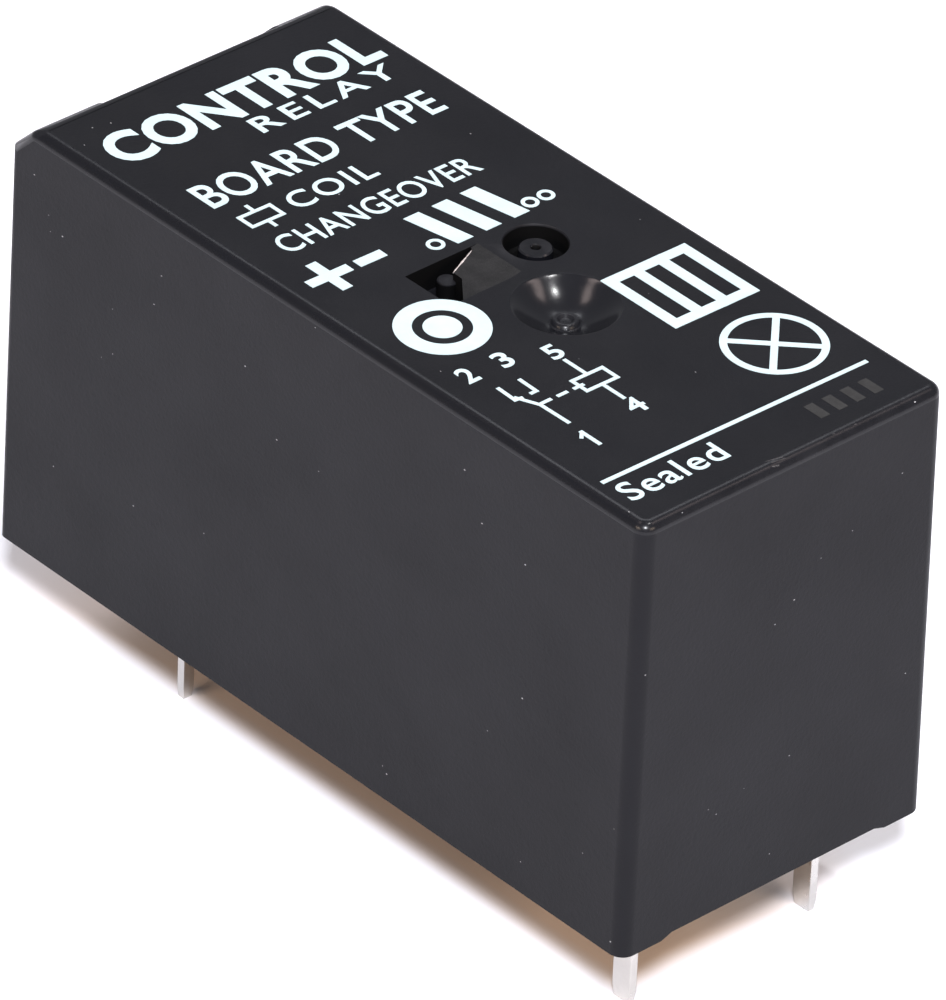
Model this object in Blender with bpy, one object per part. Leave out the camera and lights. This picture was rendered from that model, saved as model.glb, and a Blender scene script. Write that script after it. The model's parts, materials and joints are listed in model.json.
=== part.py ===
"""Board-mount control relay with one changeover contact, 3.5 mm contact grid and 7.5 mm coil grid.

Every size is in millimetres and is turned into metres where a mesh is made. Z = 0 is the plane that the pin
tips stand on. X runs along the case, from the contact end (-X) to the coil end (+X), and Y across it.
Inside the case, heights are measured from its lower rim, which is the empty called "case_frame".
"""

import math

import bmesh
import bpy
from mathutils import Matrix, Vector

MM = 0.001

# Case
LENGTH = 29.0
WIDTH = 12.5
HEIGHT = 15.5
DRAFT = 0.15  # how far each side leans in over the full height
WALL = 0.8  # side wall at its thinnest, under the top
TOP_WALL = 0.9
TOP_PAD = 0.5  # extra thickness under the top's recesses
CORNER_RADIUS = 0.5
TOP_RADIUS = 0.35
END_CHAMFER = 1.0  # along the contact end's top edge
FOOT_LENGTH = 1.85  # each corner foot at the ends
FOOT_HEIGHT = 0.15
PANEL_DEPTH = 0.12  # shallow recess down the contact end
PANEL_FROM = -3.35
PANEL_TO = 3.85

# Recesses in the top, placed from the case's centre
VENT_X = -0.1
VENT_Y = -2.55
VENT_LENGTH = 2.05
VENT_WIDTH = 2.6
VENT_DEPTH = 0.9
VENT_RAMP_DEPTH = 0.3
VENT_NUB_RADIUS = 0.32
GATE_X = 0.95
GATE_Y = 1.7
GATE_RADIUS = 1.08
GATE_DEPTH = 0.6
GATE_BOSS_RADIUS = 0.56
GATE_BOSS_DROP = 0.17
GATE_DIMPLE_RADIUS = 0.15
DISH_X = 4.05
DISH_Y = 0.17
DISH_RADIUS = 1.7
DISH_DEPTH = 0.65
DISH_NUB_RADIUS = 0.44
DISH_NUB_HEIGHT = 0.24

# Pins and the standard grid they stand on
PIN_LENGTH = 3.9
COIL_PIN_INSET = 2.35  # coil pins to the coil end
COIL_PIN_SPAN = 7.5
ROW_SPACING = 20.4  # coil pins to the common pin
CONTACT_PITCH = 3.5
COIL_PIN_SIZE = (0.8, 0.3)
CONTACT_PIN_SIZE = (0.3, 0.42)
PIN_TAPER = 0.18
PIN_TAPER_LENGTH = 0.45

# Floor of the case
RIM_TO_RESIN = 0.25
RESIN_THICKNESS = 0.4
BASE_THICKNESS = 0.8

# Magnet
CORE_RADIUS = 1.9
SPIGOT_RADIUS = 1.3
SPIGOT_HEAD = 0.1  # how far the riveted end stands out of the yoke
POLE_RADIUS = 3.3
POLE_THICKNESS = 0.95
YOKE_THICKNESS = 1.0
YOKE_WIDTH = 6.0
YOKE_OVER_CORE = 1.0  # how far the yoke's leg stands above the core
YOKE_BEND = 0.6
TUBE_WALL = 0.5
FLANGE_THICKNESS = 0.8
FLANGE_MARGIN = 0.4  # flange to the case wall
FLANGE_LIP = 0.5  # flange past the winding
BLOCK_WIDTH = 1.4  # bobbin block round each coil pin
BLOCK_HEIGHT = 1.1
BLOCK_MARGIN = 0.4
TAPE_THICKNESS = 0.1
LEAD_RADIUS = 0.09
LEAD_TURNS = 3
LEAD_RISE = 2.7  # lead above the flange's foot
LEAD_INSET = 1.15  # lead to the case wall
LEAD_GAP = 0.04  # lead to its post
LEAD_PITCH = 0.06  # climb at each corner of the post
POST_ABOVE_LEAD = 0.9
ARMATURE_THICKNESS = 1.0
ARMATURE_WIDTH = 7.6
ARMATURE_TONGUE = 3.0
ARMATURE_OPEN = math.radians(4.0)
CLIP_THICKNESS = 0.15
CLIP_WIDTH = 3.0
CLIP_HEIGHT = 2.6
CLIP_BEHIND = 0.4  # clip to the armature's back
CLIP_UNDER_YOKE = 3.0
POLE_EDGE = 0.15
HINGE_LIFT = 0.2  # hinge line above the yoke's foot
SHOULDER = 1.2  # the armature narrows over this height
ARMATURE_OVER_CARD = 0.5

# Contacts
POLE_TO_COMMON = 7.3  # pole face to the common pin
BLADE_THICKNESS = 0.2
BLADE_WIDTH = 3.4
SHEET = 0.3  # terminal sheet
CONTACT_RADIUS = 1.1
CONTACT_HEAD = 0.42
CONTACT_DROP = 2.3  # contact centre under the card
CARD_THICKNESS = 0.7
CARD_WIDTH = 6.0
CARD_TO_PAD = 0.8
BARRIER_THICKNESS = 0.5
FOOT_PLATE_HEIGHT = 1.9  # riveted foot of the blade
FOOT_PLATE_STEP = 1.0
BLADE_BEND_GAP = 0.1
BLADE_OVER_CARD = 0.45
BLADE_NECK = 0.5
NECK_SHARE = 0.6  # blade's neck as a share of its width
SHANK_SHARE = 0.45  # rivet shank as a share of the contact's radius
FOOT_RIVET_RADIUS = 0.3
FOOT_RIVET_HEAD = 0.55
FOOT_RIVET_DEPTH = 0.2
CARD_MARGIN = 0.9  # card past its end windows
TERMINAL_SHELF = 0.9
TERMINAL_MARGIN = 0.4  # terminal above its contact

# Clearances
SEAT_GAP = 0.05  # pieces that sit against each other
SLOT_GAP = 0.05  # around a pin in its slot
AIR_GAP = 0.15  # pieces that pass each other
RUN_GAP = 0.06  # moving piece in its slot
TOUCH_GAP = 0.03  # closed contacts

SEGMENTS = 32

# Places that follow from the sizes above
HALF_LENGTH = LENGTH / 2
HALF_WIDTH = WIDTH / 2
ROOM_X = HALF_LENGTH - DRAFT - WALL
ROOM_Y = HALF_WIDTH - DRAFT - WALL
ROOM_TOP = HEIGHT - TOP_WALL
PAD_UNDERSIDE = ROOM_TOP - TOP_PAD
RESIN_TOP = RIM_TO_RESIN + RESIN_THICKNESS
BASE_FLOOR = RESIN_TOP + SEAT_GAP
BASE_TOP = BASE_FLOOR + BASE_THICKNESS
COIL_PIN_X = HALF_LENGTH - COIL_PIN_INSET
COIL_PIN_Y = COIL_PIN_SPAN / 2
COMMON_X = COIL_PIN_X - ROW_SPACING
POLE_X = COMMON_X + POLE_TO_COMMON
CARD_TOP = PAD_UNDERSIDE - CARD_TO_PAD
CARD_FLOOR = CARD_TOP - CARD_THICKNESS
CARD_MIDDLE = (CARD_TOP + CARD_FLOOR) / 2
YOKE_FLOOR = BASE_TOP + CLIP_THICKNESS + 2 * SEAT_GAP
YOKE_TOP = YOKE_FLOOR + YOKE_THICKNESS
FLANGE_FLOOR = YOKE_TOP + AIR_GAP
FLANGE_HEIGHT = CARD_FLOOR - AIR_GAP - FLANGE_FLOOR
FLANGE_WIDTH = 2 * (ROOM_Y - FLANGE_MARGIN)
COIL_AXIS = FLANGE_FLOOR + FLANGE_HEIGHT / 2
TUBE_RADIUS = CORE_RADIUS + SEAT_GAP + TUBE_WALL
TAPE_RADIUS = min(FLANGE_HEIGHT, FLANGE_WIDTH) / 2 - FLANGE_LIP
WINDING_RADIUS = TAPE_RADIUS - TAPE_THICKNESS - SEAT_GAP
FRONT_FLANGE_X = POLE_X + POLE_THICKNESS + SEAT_GAP
REAR_FLANGE_X = COIL_PIN_X - COIL_PIN_SIZE[0] / 2 - 2 * SEAT_GAP - AIR_GAP - FLANGE_THICKNESS
YOKE_BACK_X = ROOM_X - AIR_GAP - SPIGOT_HEAD - YOKE_THICKNESS
YOKE_LEG_TOP = COIL_AXIS + CORE_RADIUS + YOKE_OVER_CORE
LEAD_HEIGHT = FLANGE_FLOOR + LEAD_RISE
LEAD_Y = ROOM_Y - LEAD_INSET
HINGE_X = POLE_X - SEAT_GAP
HINGE_Z = YOKE_FLOOR + HINGE_LIFT
CARD_REACH = CARD_MIDDLE - HINGE_Z
BLADE_X = COMMON_X - (SHEET + BLADE_THICKNESS) / 2 - SEAT_GAP
FOOT_PLATE_TOP = BASE_TOP + FOOT_PLATE_HEIGHT
BLADE_ROOT = FOOT_PLATE_TOP + BLADE_BEND_GAP
BLADE_REACH = CARD_MIDDLE - BLADE_ROOT
CARD_STROKE = CARD_REACH * ARMATURE_OPEN
BLADE_SWING = CARD_STROKE / BLADE_REACH
CONTACT_Z = CARD_FLOOR - CONTACT_DROP
CONTACT_STROKE = (CONTACT_Z - BLADE_ROOT) * BLADE_SWING
MOVING_FACE = BLADE_THICKNESS / 2 + CONTACT_HEAD
SHANK_RADIUS = CONTACT_RADIUS * SHANK_SHARE
TIP_AT_REST = HINGE_X - CARD_REACH * math.sin(ARMATURE_OPEN)


def clear_scene():
    for old in list(bpy.data.objects):
        bpy.data.objects.remove(old, do_unlink=True)


def material(name, colour, roughness, metallic):
    made = bpy.data.materials.new(name)
    made.use_nodes = True
    shader = made.node_tree.nodes["Principled BSDF"]
    shader.inputs["Base Color"].default_value = (*colour, 1.0)
    shader.inputs["Roughness"].default_value = roughness
    shader.inputs["Metallic"].default_value = metallic
    made.diffuse_color = (*colour, 1.0)
    return made


def finish_mesh(bm, name, look, at, parent, smooth):
    """Turns a bmesh in millimetres into a named object whose origin is at `at`."""
    bmesh.ops.recalc_face_normals(bm, faces=bm.faces)
    bmesh.ops.scale(bm, vec=Vector((MM, MM, MM)), verts=bm.verts)
    mesh = bpy.data.meshes.new(name)
    bm.to_mesh(mesh)
    bm.free()
    if smooth:
        mesh.shade_smooth()
        mesh.set_sharp_from_angle(angle=math.radians(32))
    made = bpy.data.objects.new(name, mesh)
    bpy.context.scene.collection.objects.link(made)
    made.location = Vector(at) * MM
    made.parent = parent
    if look:
        mesh.materials.append(look)
    return made


def add_box(bm, low, high):
    """Adds a closed box to a bmesh and returns its vertices."""
    middle = (Vector(low) + Vector(high)) / 2
    size = Vector(high) - Vector(low)
    shape = Matrix.Translation(middle) @ Matrix.Diagonal((*size, 1.0))
    return bmesh.ops.create_cube(bm, size=1.0, matrix=shape)["verts"]


def add_pin(bm, x, y, size, top):
    """Adds a solder pin whose tip is tapered on all four sides, from the board side up to `top`."""
    half_x, half_y = size[0] / 2, size[1] / 2
    rings = []
    for z, shrink in ((-PIN_LENGTH, PIN_TAPER), (-PIN_LENGTH + PIN_TAPER_LENGTH, 0.0), (top, 0.0)):
        wide = half_x - shrink * half_x
        deep = half_y - shrink * half_y
        corners = ((-wide, -deep), (wide, -deep), (wide, deep), (-wide, deep))
        rings.append([bm.verts.new((x + dx, y + dy, z)) for dx, dy in corners])
    skin_rings(bm, rings)


def skin_rings(bm, rings):
    """Closes a stack of equal vertex rings into one solid."""
    for lower, upper in zip(rings, rings[1:]):
        for k in range(len(lower)):
            after = (k + 1) % len(lower)
            bm.faces.new((lower[k], lower[after], upper[after], upper[k]))
    bm.faces.new(rings[0])
    bm.faces.new(rings[-1])


def add_prism(bm, outline, start, end, axis="Y"):
    """Extrudes an outline: (x, z) points along Y, (x, y) points along Z or (y, z) points along X."""
    place = {
        "X": lambda a, b, c: (c, a, b),
        "Y": lambda a, b, c: (a, c, b),
        "Z": lambda a, b, c: (a, b, c),
    }[axis]
    rings = [[bm.verts.new(place(a, b, c)) for a, b in outline] for c in (start, end)]
    skin_rings(bm, rings)


def add_turning(bm, profile, axis="Z", at=(0, 0, 0), segments=SEGMENTS):
    """Spins (radius, height) points around an axis through `at`; the profile starts and ends on the axis."""
    before = set(bm.verts)
    points = [bm.verts.new((radius, 0, height)) for radius, height in profile]
    edges = [bm.edges.new(pair) for pair in zip(points, points[1:])]
    bmesh.ops.spin(
        bm,
        geom=points + edges,
        cent=(0, 0, 0),
        axis=(0, 0, 1),
        angle=2 * math.pi,
        steps=segments,
        use_merge=True,
    )
    turned = [v for v in bm.verts if v not in before]
    bmesh.ops.remove_doubles(bm, verts=turned, dist=1e-5)
    turned = [v for v in bm.verts if v not in before]
    if axis == "X":
        bmesh.ops.rotate(bm, verts=turned, matrix=Matrix.Rotation(math.pi / 2, 3, "Y"))
    bmesh.ops.translate(bm, verts=turned, vec=Vector(at))


def add_tube(bm, inner, outer, start, end, at):
    """Adds a pipe along X."""
    rings = []
    for radius, x in ((inner, start), (outer, start), (outer, end), (inner, end)):
        rings.append(
            [
                bm.verts.new(
                    (
                        x + at[0],
                        at[1] + radius * math.cos(2 * math.pi * k / SEGMENTS),
                        at[2] + radius * math.sin(2 * math.pi * k / SEGMENTS),
                    )
                )
                for k in range(SEGMENTS)
            ]
        )
    for first, second in zip(rings, rings[1:] + rings[:1]):
        for k in range(SEGMENTS):
            after = (k + 1) % SEGMENTS
            bm.faces.new((first[k], first[after], second[after], second[k]))


def piece(name, build, look, at=(0, 0, 0), parent=None, smooth=False, bevel=0.0):
    """Makes one named part from a function that fills a bmesh around `at`."""
    bm = bmesh.new()
    build(bm)
    made = finish_mesh(bm, name, look, at, parent, smooth)
    if bevel:
        rounding = made.modifiers.new("edges", "BEVEL")
        rounding.width = bevel * MM
        rounding.segments = 1
        rounding.limit_method = "ANGLE"
        rounding.angle_limit = math.radians(40)
    return made


def shape_with(target, name, build, operation="DIFFERENCE"):
    """Cuts a helper shape out of a part, or joins it on."""
    bm = bmesh.new()
    build(bm)
    helper = finish_mesh(bm, name, None, (0, 0, 0), target.parent, False)
    helper.location = Vector((0, 0, 0))
    helper.hide_render = True
    helper.display_type = "WIRE"
    step = target.modifiers.new(name, "BOOLEAN")
    step.operation = operation
    step.object = helper
    step.solver = "EXACT"
    return helper


def circle_outline(x, y, radius, segments=20):
    turn = 2 * math.pi / segments
    return [(x + radius * math.cos(k * turn), y + radius * math.sin(k * turn)) for k in range(segments)]


def case_shell(bm):
    """The case's outside: leaning walls, one chamfered end, rounded corners and a rounded top edge."""
    def corner(side_x, side_y, z, inset=0.0):
        lean = DRAFT * z / HEIGHT
        return bm.verts.new((side_x * (HALF_LENGTH - lean - inset), side_y * (HALF_WIDTH - lean), z))

    shoulder = HEIGHT - END_CHAMFER
    foot = {(sx, sy): corner(sx, sy, 0.0) for sx in (-1, 1) for sy in (-1, 1)}
    crown = {(1, sy): corner(1, sy, HEIGHT) for sy in (-1, 1)}
    crown.update({(-1, sy): corner(-1, sy, HEIGHT, END_CHAMFER) for sy in (-1, 1)})
    neck = {sy: corner(-1, sy, shoulder) for sy in (-1, 1)}
    for sy in (-1, 1):
        bm.faces.new((foot[-1, sy], foot[1, sy], crown[1, sy], crown[-1, sy], neck[sy]))
    bm.faces.new((foot[1, -1], foot[1, 1], crown[1, 1], crown[1, -1]))
    bm.faces.new((foot[-1, -1], foot[-1, 1], neck[1], neck[-1]))
    bm.faces.new((neck[-1], neck[1], crown[-1, 1], crown[-1, -1]))
    bm.faces.new((foot[-1, -1], foot[1, -1], foot[1, 1], foot[-1, 1]))
    bm.faces.new((crown[-1, -1], crown[1, -1], crown[1, 1], crown[-1, 1]))
    bmesh.ops.recalc_face_normals(bm, faces=bm.faces)
    upright = [e for e in bm.edges if abs(e.verts[0].co.z - e.verts[1].co.z) > END_CHAMFER / 2]
    bmesh.ops.bevel(bm, geom=upright, offset=CORNER_RADIUS, segments=5, profile=0.5, affect="EDGES")
    rim = [e for e in bm.edges if min(v.co.z for v in e.verts) > HEIGHT - 1e-4]
    bmesh.ops.bevel(bm, geom=rim, offset=TOP_RADIUS, segments=4, profile=0.5, affect="EDGES")


def build_case(look, parent):
    case = piece("cover", case_shell, look, parent=parent, smooth=True)

    def room(bm):
        outline = [
            (-ROOM_X, -1.0),
            (ROOM_X, -1.0),
            (ROOM_X, ROOM_TOP),
            (DISH_X + DISH_RADIUS + WALL, ROOM_TOP),
            (DISH_X + DISH_RADIUS + WALL, PAD_UNDERSIDE),
            (VENT_X - WALL, PAD_UNDERSIDE),
            (VENT_X - WALL, ROOM_TOP),
            (-ROOM_X, ROOM_TOP),
        ]
        add_prism(bm, outline, -ROOM_Y, ROOM_Y)

    def vent_pit(bm):
        x, y = VENT_X, VENT_Y
        outline = [
            (x, y),
            (x + 0.72 * VENT_LENGTH, y),
            (x + 0.68 * VENT_LENGTH, y + 0.34 * VENT_WIDTH),
            (x + 0.26 * VENT_LENGTH, y + 0.6 * VENT_WIDTH),
            (x + 0.04 * VENT_LENGTH, y + VENT_WIDTH),
            (x, y + VENT_WIDTH),
        ]
        add_prism(bm, outline, HEIGHT - VENT_DEPTH, HEIGHT + 1.0, "Z")

    def vent_ramp(bm):
        slope = VENT_RAMP_DEPTH / VENT_LENGTH
        outline = [
            (VENT_X, HEIGHT - VENT_RAMP_DEPTH),
            (VENT_X + VENT_LENGTH + 0.2, HEIGHT + 0.2 * slope),
            (VENT_X + VENT_LENGTH + 0.2, HEIGHT + 1.0),
            (VENT_X, HEIGHT + 1.0),
        ]
        add_prism(bm, outline, VENT_Y, VENT_Y + VENT_WIDTH)

    def vent_nub(bm):
        middle = circle_outline(VENT_X + 0.28 * VENT_LENGTH, VENT_Y + 0.4 * VENT_WIDTH, VENT_NUB_RADIUS)
        add_prism(bm, middle, HEIGHT - VENT_DEPTH - 0.2, HEIGHT - 0.3, "Z")

    def gate_well(bm):
        profile = [
            (0, HEIGHT + 1.0),
            (GATE_RADIUS, HEIGHT + 1.0),
            (GATE_RADIUS, HEIGHT - GATE_DEPTH),
            (GATE_BOSS_RADIUS, HEIGHT - GATE_DEPTH),
            (GATE_BOSS_RADIUS, HEIGHT - GATE_BOSS_DROP),
            (GATE_DIMPLE_RADIUS, HEIGHT - GATE_BOSS_DROP),
            (GATE_DIMPLE_RADIUS, HEIGHT - GATE_BOSS_DROP - 0.2),
            (0, HEIGHT - GATE_BOSS_DROP - 0.2),
        ]
        add_turning(bm, profile, at=(GATE_X, GATE_Y, 0))

    def dish(bm):
        floor = HEIGHT - DISH_DEPTH
        nub_top = floor + DISH_NUB_HEIGHT
        profile = [
            (0, HEIGHT + 1.0),
            (DISH_RADIUS + 0.3, HEIGHT + 1.0),
            (DISH_RADIUS + 0.3, HEIGHT + 0.05),
            (DISH_RADIUS, HEIGHT),
            (0.8 * DISH_RADIUS, HEIGHT - 0.36 * DISH_DEPTH),
            (0.55 * DISH_RADIUS, HEIGHT - 0.74 * DISH_DEPTH),
            (0.38 * DISH_RADIUS, HEIGHT - 0.94 * DISH_DEPTH),
            (DISH_NUB_RADIUS, floor),
            (DISH_NUB_RADIUS, nub_top),
            (0.6 * DISH_NUB_RADIUS, nub_top),
            (0.5 * DISH_NUB_RADIUS, nub_top - 0.1),
            (0, nub_top - 0.1),
        ]
        add_turning(bm, profile, at=(DISH_X, DISH_Y, 0))

    def end_panel(bm):
        foot_x = -HALF_LENGTH + PANEL_DEPTH
        neck_x = foot_x + DRAFT
        shoulder = HEIGHT - END_CHAMFER
        outline = [
            (-HALF_LENGTH - 1.0, -1.0),
            (foot_x, -1.0),
            (foot_x, 0.0),
            (neck_x, shoulder),
            (neck_x + END_CHAMFER + 0.5, HEIGHT + 0.5),
            (-HALF_LENGTH - 1.0, HEIGHT + 0.5),
        ]
        add_prism(bm, outline, PANEL_FROM, PANEL_TO)

    def foot_gaps(bm):
        for side in (-1, 1):
            low = min(side * (ROOM_X - 0.5), side * (HALF_LENGTH + 0.5))
            high = max(side * (ROOM_X - 0.5), side * (HALF_LENGTH + 0.5))
            reach = HALF_WIDTH - FOOT_LENGTH
            add_box(bm, (low, -reach, -1.0), (high, reach, FOOT_HEIGHT))

    shape_with(case, "case_room", room)
    shape_with(case, "case_vent_ramp", vent_ramp)
    shape_with(case, "case_vent_pit", vent_pit)
    shape_with(case, "case_vent_nub", vent_nub, "UNION")
    shape_with(case, "case_gate_well", gate_well)
    shape_with(case, "case_dish", dish)
    shape_with(case, "case_end_panel", end_panel)
    shape_with(case, "case_foot_gaps", foot_gaps)


def pin_places():
    """Name, place, cross-section and top end of each pin's straight stretch."""
    common_y = -COIL_PIN_Y
    return {
        "coil_a": (COIL_PIN_X, COIL_PIN_Y, COIL_PIN_SIZE),
        "coil_b": (COIL_PIN_X, -COIL_PIN_Y, COIL_PIN_SIZE),
        "common": (COMMON_X, common_y, CONTACT_PIN_SIZE),
        "closed": (COMMON_X - CONTACT_PITCH, -common_y, CONTACT_PIN_SIZE),
        "open": (COMMON_X + CONTACT_PITCH, -common_y, CONTACT_PIN_SIZE),
    }


def pin_slots(bm, low, high):
    for x, y, size in pin_places().values():
        wide = size[0] / 2 + SLOT_GAP
        deep = size[1] / 2 + SLOT_GAP
        add_box(bm, (x - wide, y - deep, low), (x + wide, y + deep, high))


def build_floor(looks, parent):
    edge_x = ROOM_X - SEAT_GAP
    edge_y = ROOM_Y - SEAT_GAP

    def resin(bm):
        add_box(bm, (-edge_x, -edge_y, RIM_TO_RESIN), (edge_x, edge_y, RESIN_TOP))

    def base(bm):
        add_box(bm, (-edge_x, -edge_y, BASE_FLOOR), (edge_x, edge_y, BASE_TOP))

    def base_pads(bm):
        inner = YOKE_WIDTH / 2 + AIR_GAP
        outer = FLANGE_WIDTH / 2
        for flange_x in (FRONT_FLANGE_X, REAR_FLANGE_X):
            for side in (-1, 1):
                low = (flange_x, min(side * inner, side * outer), BASE_TOP - 0.2)
                high = (
                    flange_x + FLANGE_THICKNESS,
                    max(side * inner, side * outer),
                    FLANGE_FLOOR - SEAT_GAP,
                )
                add_box(bm, low, high)

    seal = piece("sealing_resin", resin, looks["resin"], parent=parent)
    shape_with(seal, "resin_slots", lambda bm: pin_slots(bm, 0.0, BASE_FLOOR))
    plate = piece("base", base, looks["base"], parent=parent)
    shape_with(plate, "base_pads", base_pads, "UNION")
    shape_with(plate, "base_slots", lambda bm: pin_slots(bm, 0.0, BASE_TOP + 0.5))


def build_magnet(looks, parent):
    axis = (0, 0, COIL_AXIS)
    half_flange = FLANGE_WIDTH / 2
    flange_top = FLANGE_FLOOR + FLANGE_HEIGHT
    yoke_front = YOKE_BACK_X - SEAT_GAP

    def core(bm):
        profile = [
            (0, POLE_X),
            (POLE_RADIUS - POLE_EDGE, POLE_X),
            (POLE_RADIUS, POLE_X + POLE_EDGE),
            (POLE_RADIUS, POLE_X + POLE_THICKNESS),
            (CORE_RADIUS, POLE_X + POLE_THICKNESS),
            (CORE_RADIUS, yoke_front),
            (SPIGOT_RADIUS, yoke_front),
            (SPIGOT_RADIUS, YOKE_BACK_X + YOKE_THICKNESS),
            (SPIGOT_RADIUS - 0.2, YOKE_BACK_X + YOKE_THICKNESS + SPIGOT_HEAD),
            (0, YOKE_BACK_X + YOKE_THICKNESS + SPIGOT_HEAD),
        ]
        add_turning(bm, profile, "X", axis)

    def yoke(bm):
        outline = [
            (POLE_X, YOKE_FLOOR),
            (YOKE_BACK_X + YOKE_THICKNESS - YOKE_BEND, YOKE_FLOOR),
            (YOKE_BACK_X + YOKE_THICKNESS - 0.3 * YOKE_BEND, YOKE_FLOOR + 0.3 * YOKE_BEND),
            (YOKE_BACK_X + YOKE_THICKNESS, YOKE_FLOOR + YOKE_BEND),
            (YOKE_BACK_X + YOKE_THICKNESS, YOKE_LEG_TOP),
            (YOKE_BACK_X, YOKE_LEG_TOP),
            (YOKE_BACK_X, YOKE_TOP),
            (POLE_X, YOKE_TOP),
        ]
        add_prism(bm, outline, -YOKE_WIDTH / 2, YOKE_WIDTH / 2)

    def yoke_hole(bm):
        profile = [
            (0, YOKE_BACK_X - 0.5),
            (SPIGOT_RADIUS + SLOT_GAP, YOKE_BACK_X - 0.5),
            (SPIGOT_RADIUS + SLOT_GAP, YOKE_BACK_X + YOKE_THICKNESS + 0.5),
            (0, YOKE_BACK_X + YOKE_THICKNESS + 0.5),
        ]
        add_turning(bm, profile, "X", axis)

    def bobbin(bm):
        start = FRONT_FLANGE_X + FLANGE_THICKNESS / 2
        end = REAR_FLANGE_X + FLANGE_THICKNESS / 2
        add_turning(bm, [(0, start), (TUBE_RADIUS, start), (TUBE_RADIUS, end), (0, end)], "X", axis)

    def flange(bm, x):
        add_box(bm, (x, -half_flange, FLANGE_FLOOR), (x + FLANGE_THICKNESS, half_flange, flange_top))

    def front_flange(bm):
        flange(bm, FRONT_FLANGE_X)

    def rear_flange(bm):
        flange(bm, REAR_FLANGE_X)

    def terminal_blocks(bm):
        block_end = COIL_PIN_X + COIL_PIN_SIZE[0] / 2 + BLOCK_MARGIN
        for side in (-1, 1):
            low_y = min(side * (COIL_PIN_Y - BLOCK_WIDTH / 2), side * (COIL_PIN_Y + BLOCK_WIDTH / 2))
            low = (REAR_FLANGE_X + FLANGE_THICKNESS / 2, low_y, FLANGE_FLOOR)
            add_box(bm, low, (block_end, low_y + BLOCK_WIDTH, FLANGE_FLOOR + BLOCK_HEIGHT))

    def bore(bm):
        radius = TUBE_RADIUS - TUBE_WALL
        profile = [
            (0, FRONT_FLANGE_X - 1.0),
            (radius, FRONT_FLANGE_X - 1.0),
            (radius, REAR_FLANGE_X + FLANGE_THICKNESS + 1.0),
            (0, REAR_FLANGE_X + FLANGE_THICKNESS + 1.0),
        ]
        add_turning(bm, profile, "X", axis)

    def bobbin_slots(bm):
        for name in ("coil_a", "coil_b"):
            x, y, size = pin_places()[name]
            wide = size[0] / 2 + SLOT_GAP
            deep = size[1] / 2 + SLOT_GAP
            add_box(bm, (x - wide, y - deep, FLANGE_FLOOR - 1.0), (x + wide, y + deep, flange_top))
        for side in (-1, 1):
            low_y = min(side * (LEAD_Y - 0.3), side * (half_flange + 1.0))
            high_y = max(side * (LEAD_Y - 0.3), side * (half_flange + 1.0))
            low = (REAR_FLANGE_X - 0.5, low_y, LEAD_HEIGHT - 0.3)
            add_box(bm, low, (REAR_FLANGE_X + FLANGE_THICKNESS + 0.1, high_y, LEAD_HEIGHT + 0.3))

    def winding(bm):
        start = FRONT_FLANGE_X + FLANGE_THICKNESS + SEAT_GAP
        add_tube(bm, TUBE_RADIUS + SEAT_GAP, WINDING_RADIUS, start, REAR_FLANGE_X - SEAT_GAP, axis)

    def tape(bm):
        start = FRONT_FLANGE_X + FLANGE_THICKNESS + SEAT_GAP
        add_tube(bm, WINDING_RADIUS + SEAT_GAP, TAPE_RADIUS, start, REAR_FLANGE_X - SEAT_GAP, axis)

    piece("core", core, looks["iron"], parent=parent, smooth=True)
    bracket = piece("yoke", yoke, looks["iron"], parent=parent)
    shape_with(bracket, "yoke_hole", yoke_hole)
    former = piece("bobbin", bobbin, looks["bobbin"], parent=parent, smooth=True)
    shape_with(former, "bobbin_front_flange", front_flange, "UNION")
    shape_with(former, "bobbin_rear_flange", rear_flange, "UNION")
    shape_with(former, "bobbin_blocks", terminal_blocks, "UNION")
    shape_with(former, "bobbin_bore", bore)
    shape_with(former, "bobbin_slots", bobbin_slots)
    piece("coil_winding", winding, looks["copper"], parent=parent, smooth=True)
    piece("coil_tape", tape, looks["tape"], parent=parent, smooth=True)


def build_coil_terminals(looks, parent):
    top = LEAD_HEIGHT + POST_ABOVE_LEAD
    for name in ("coil_a", "coil_b"):
        x, y, size = pin_places()[name]
        piece(
            name + "_terminal",
            lambda bm: add_pin(bm, 0, 0, size, top),
            looks["tin"],
            at=(x, y, 0),
            parent=parent,
        )
        build_lead(name + "_lead", x, y, size, looks["enamel"], parent)


def build_lead(name, x, y, size, look, parent):
    """The coil's thin lead: out of the winding, through the flange's notch and round the terminal post."""
    side = math.copysign(1.0, y)
    reach_x = size[0] / 2 + LEAD_RADIUS + LEAD_GAP
    reach_y = size[1] / 2 + LEAD_RADIUS + LEAD_GAP
    points = [
        (REAR_FLANGE_X - 1.6, side * LEAD_Y, LEAD_HEIGHT),
        (REAR_FLANGE_X + FLANGE_THICKNESS + 0.06, side * LEAD_Y, LEAD_HEIGHT),
    ]
    corners = ((-1, 1), (1, 1), (1, -1), (-1, -1))
    for step in range(4 * LEAD_TURNS):
        across, along = corners[step % 4]
        height = LEAD_HEIGHT + LEAD_PITCH * (step + 1)
        points.append((x + across * reach_x, y + side * along * reach_y, height))
    path = bpy.data.curves.new(name, "CURVE")
    path.dimensions = "3D"
    path.bevel_depth = LEAD_RADIUS * MM
    path.bevel_resolution = 2
    path.use_fill_caps = True
    line = path.splines.new("POLY")
    line.points.add(len(points) - 1)
    for knot, (px, py, pz) in zip(line.points, points):
        knot.co = ((px - x) * MM, (py - y) * MM, pz * MM, 1.0)
    path.materials.append(look)
    made = bpy.data.objects.new(name, path)
    bpy.context.scene.collection.objects.link(made)
    made.location = Vector((x, y, 0)) * MM
    made.parent = parent


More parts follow.
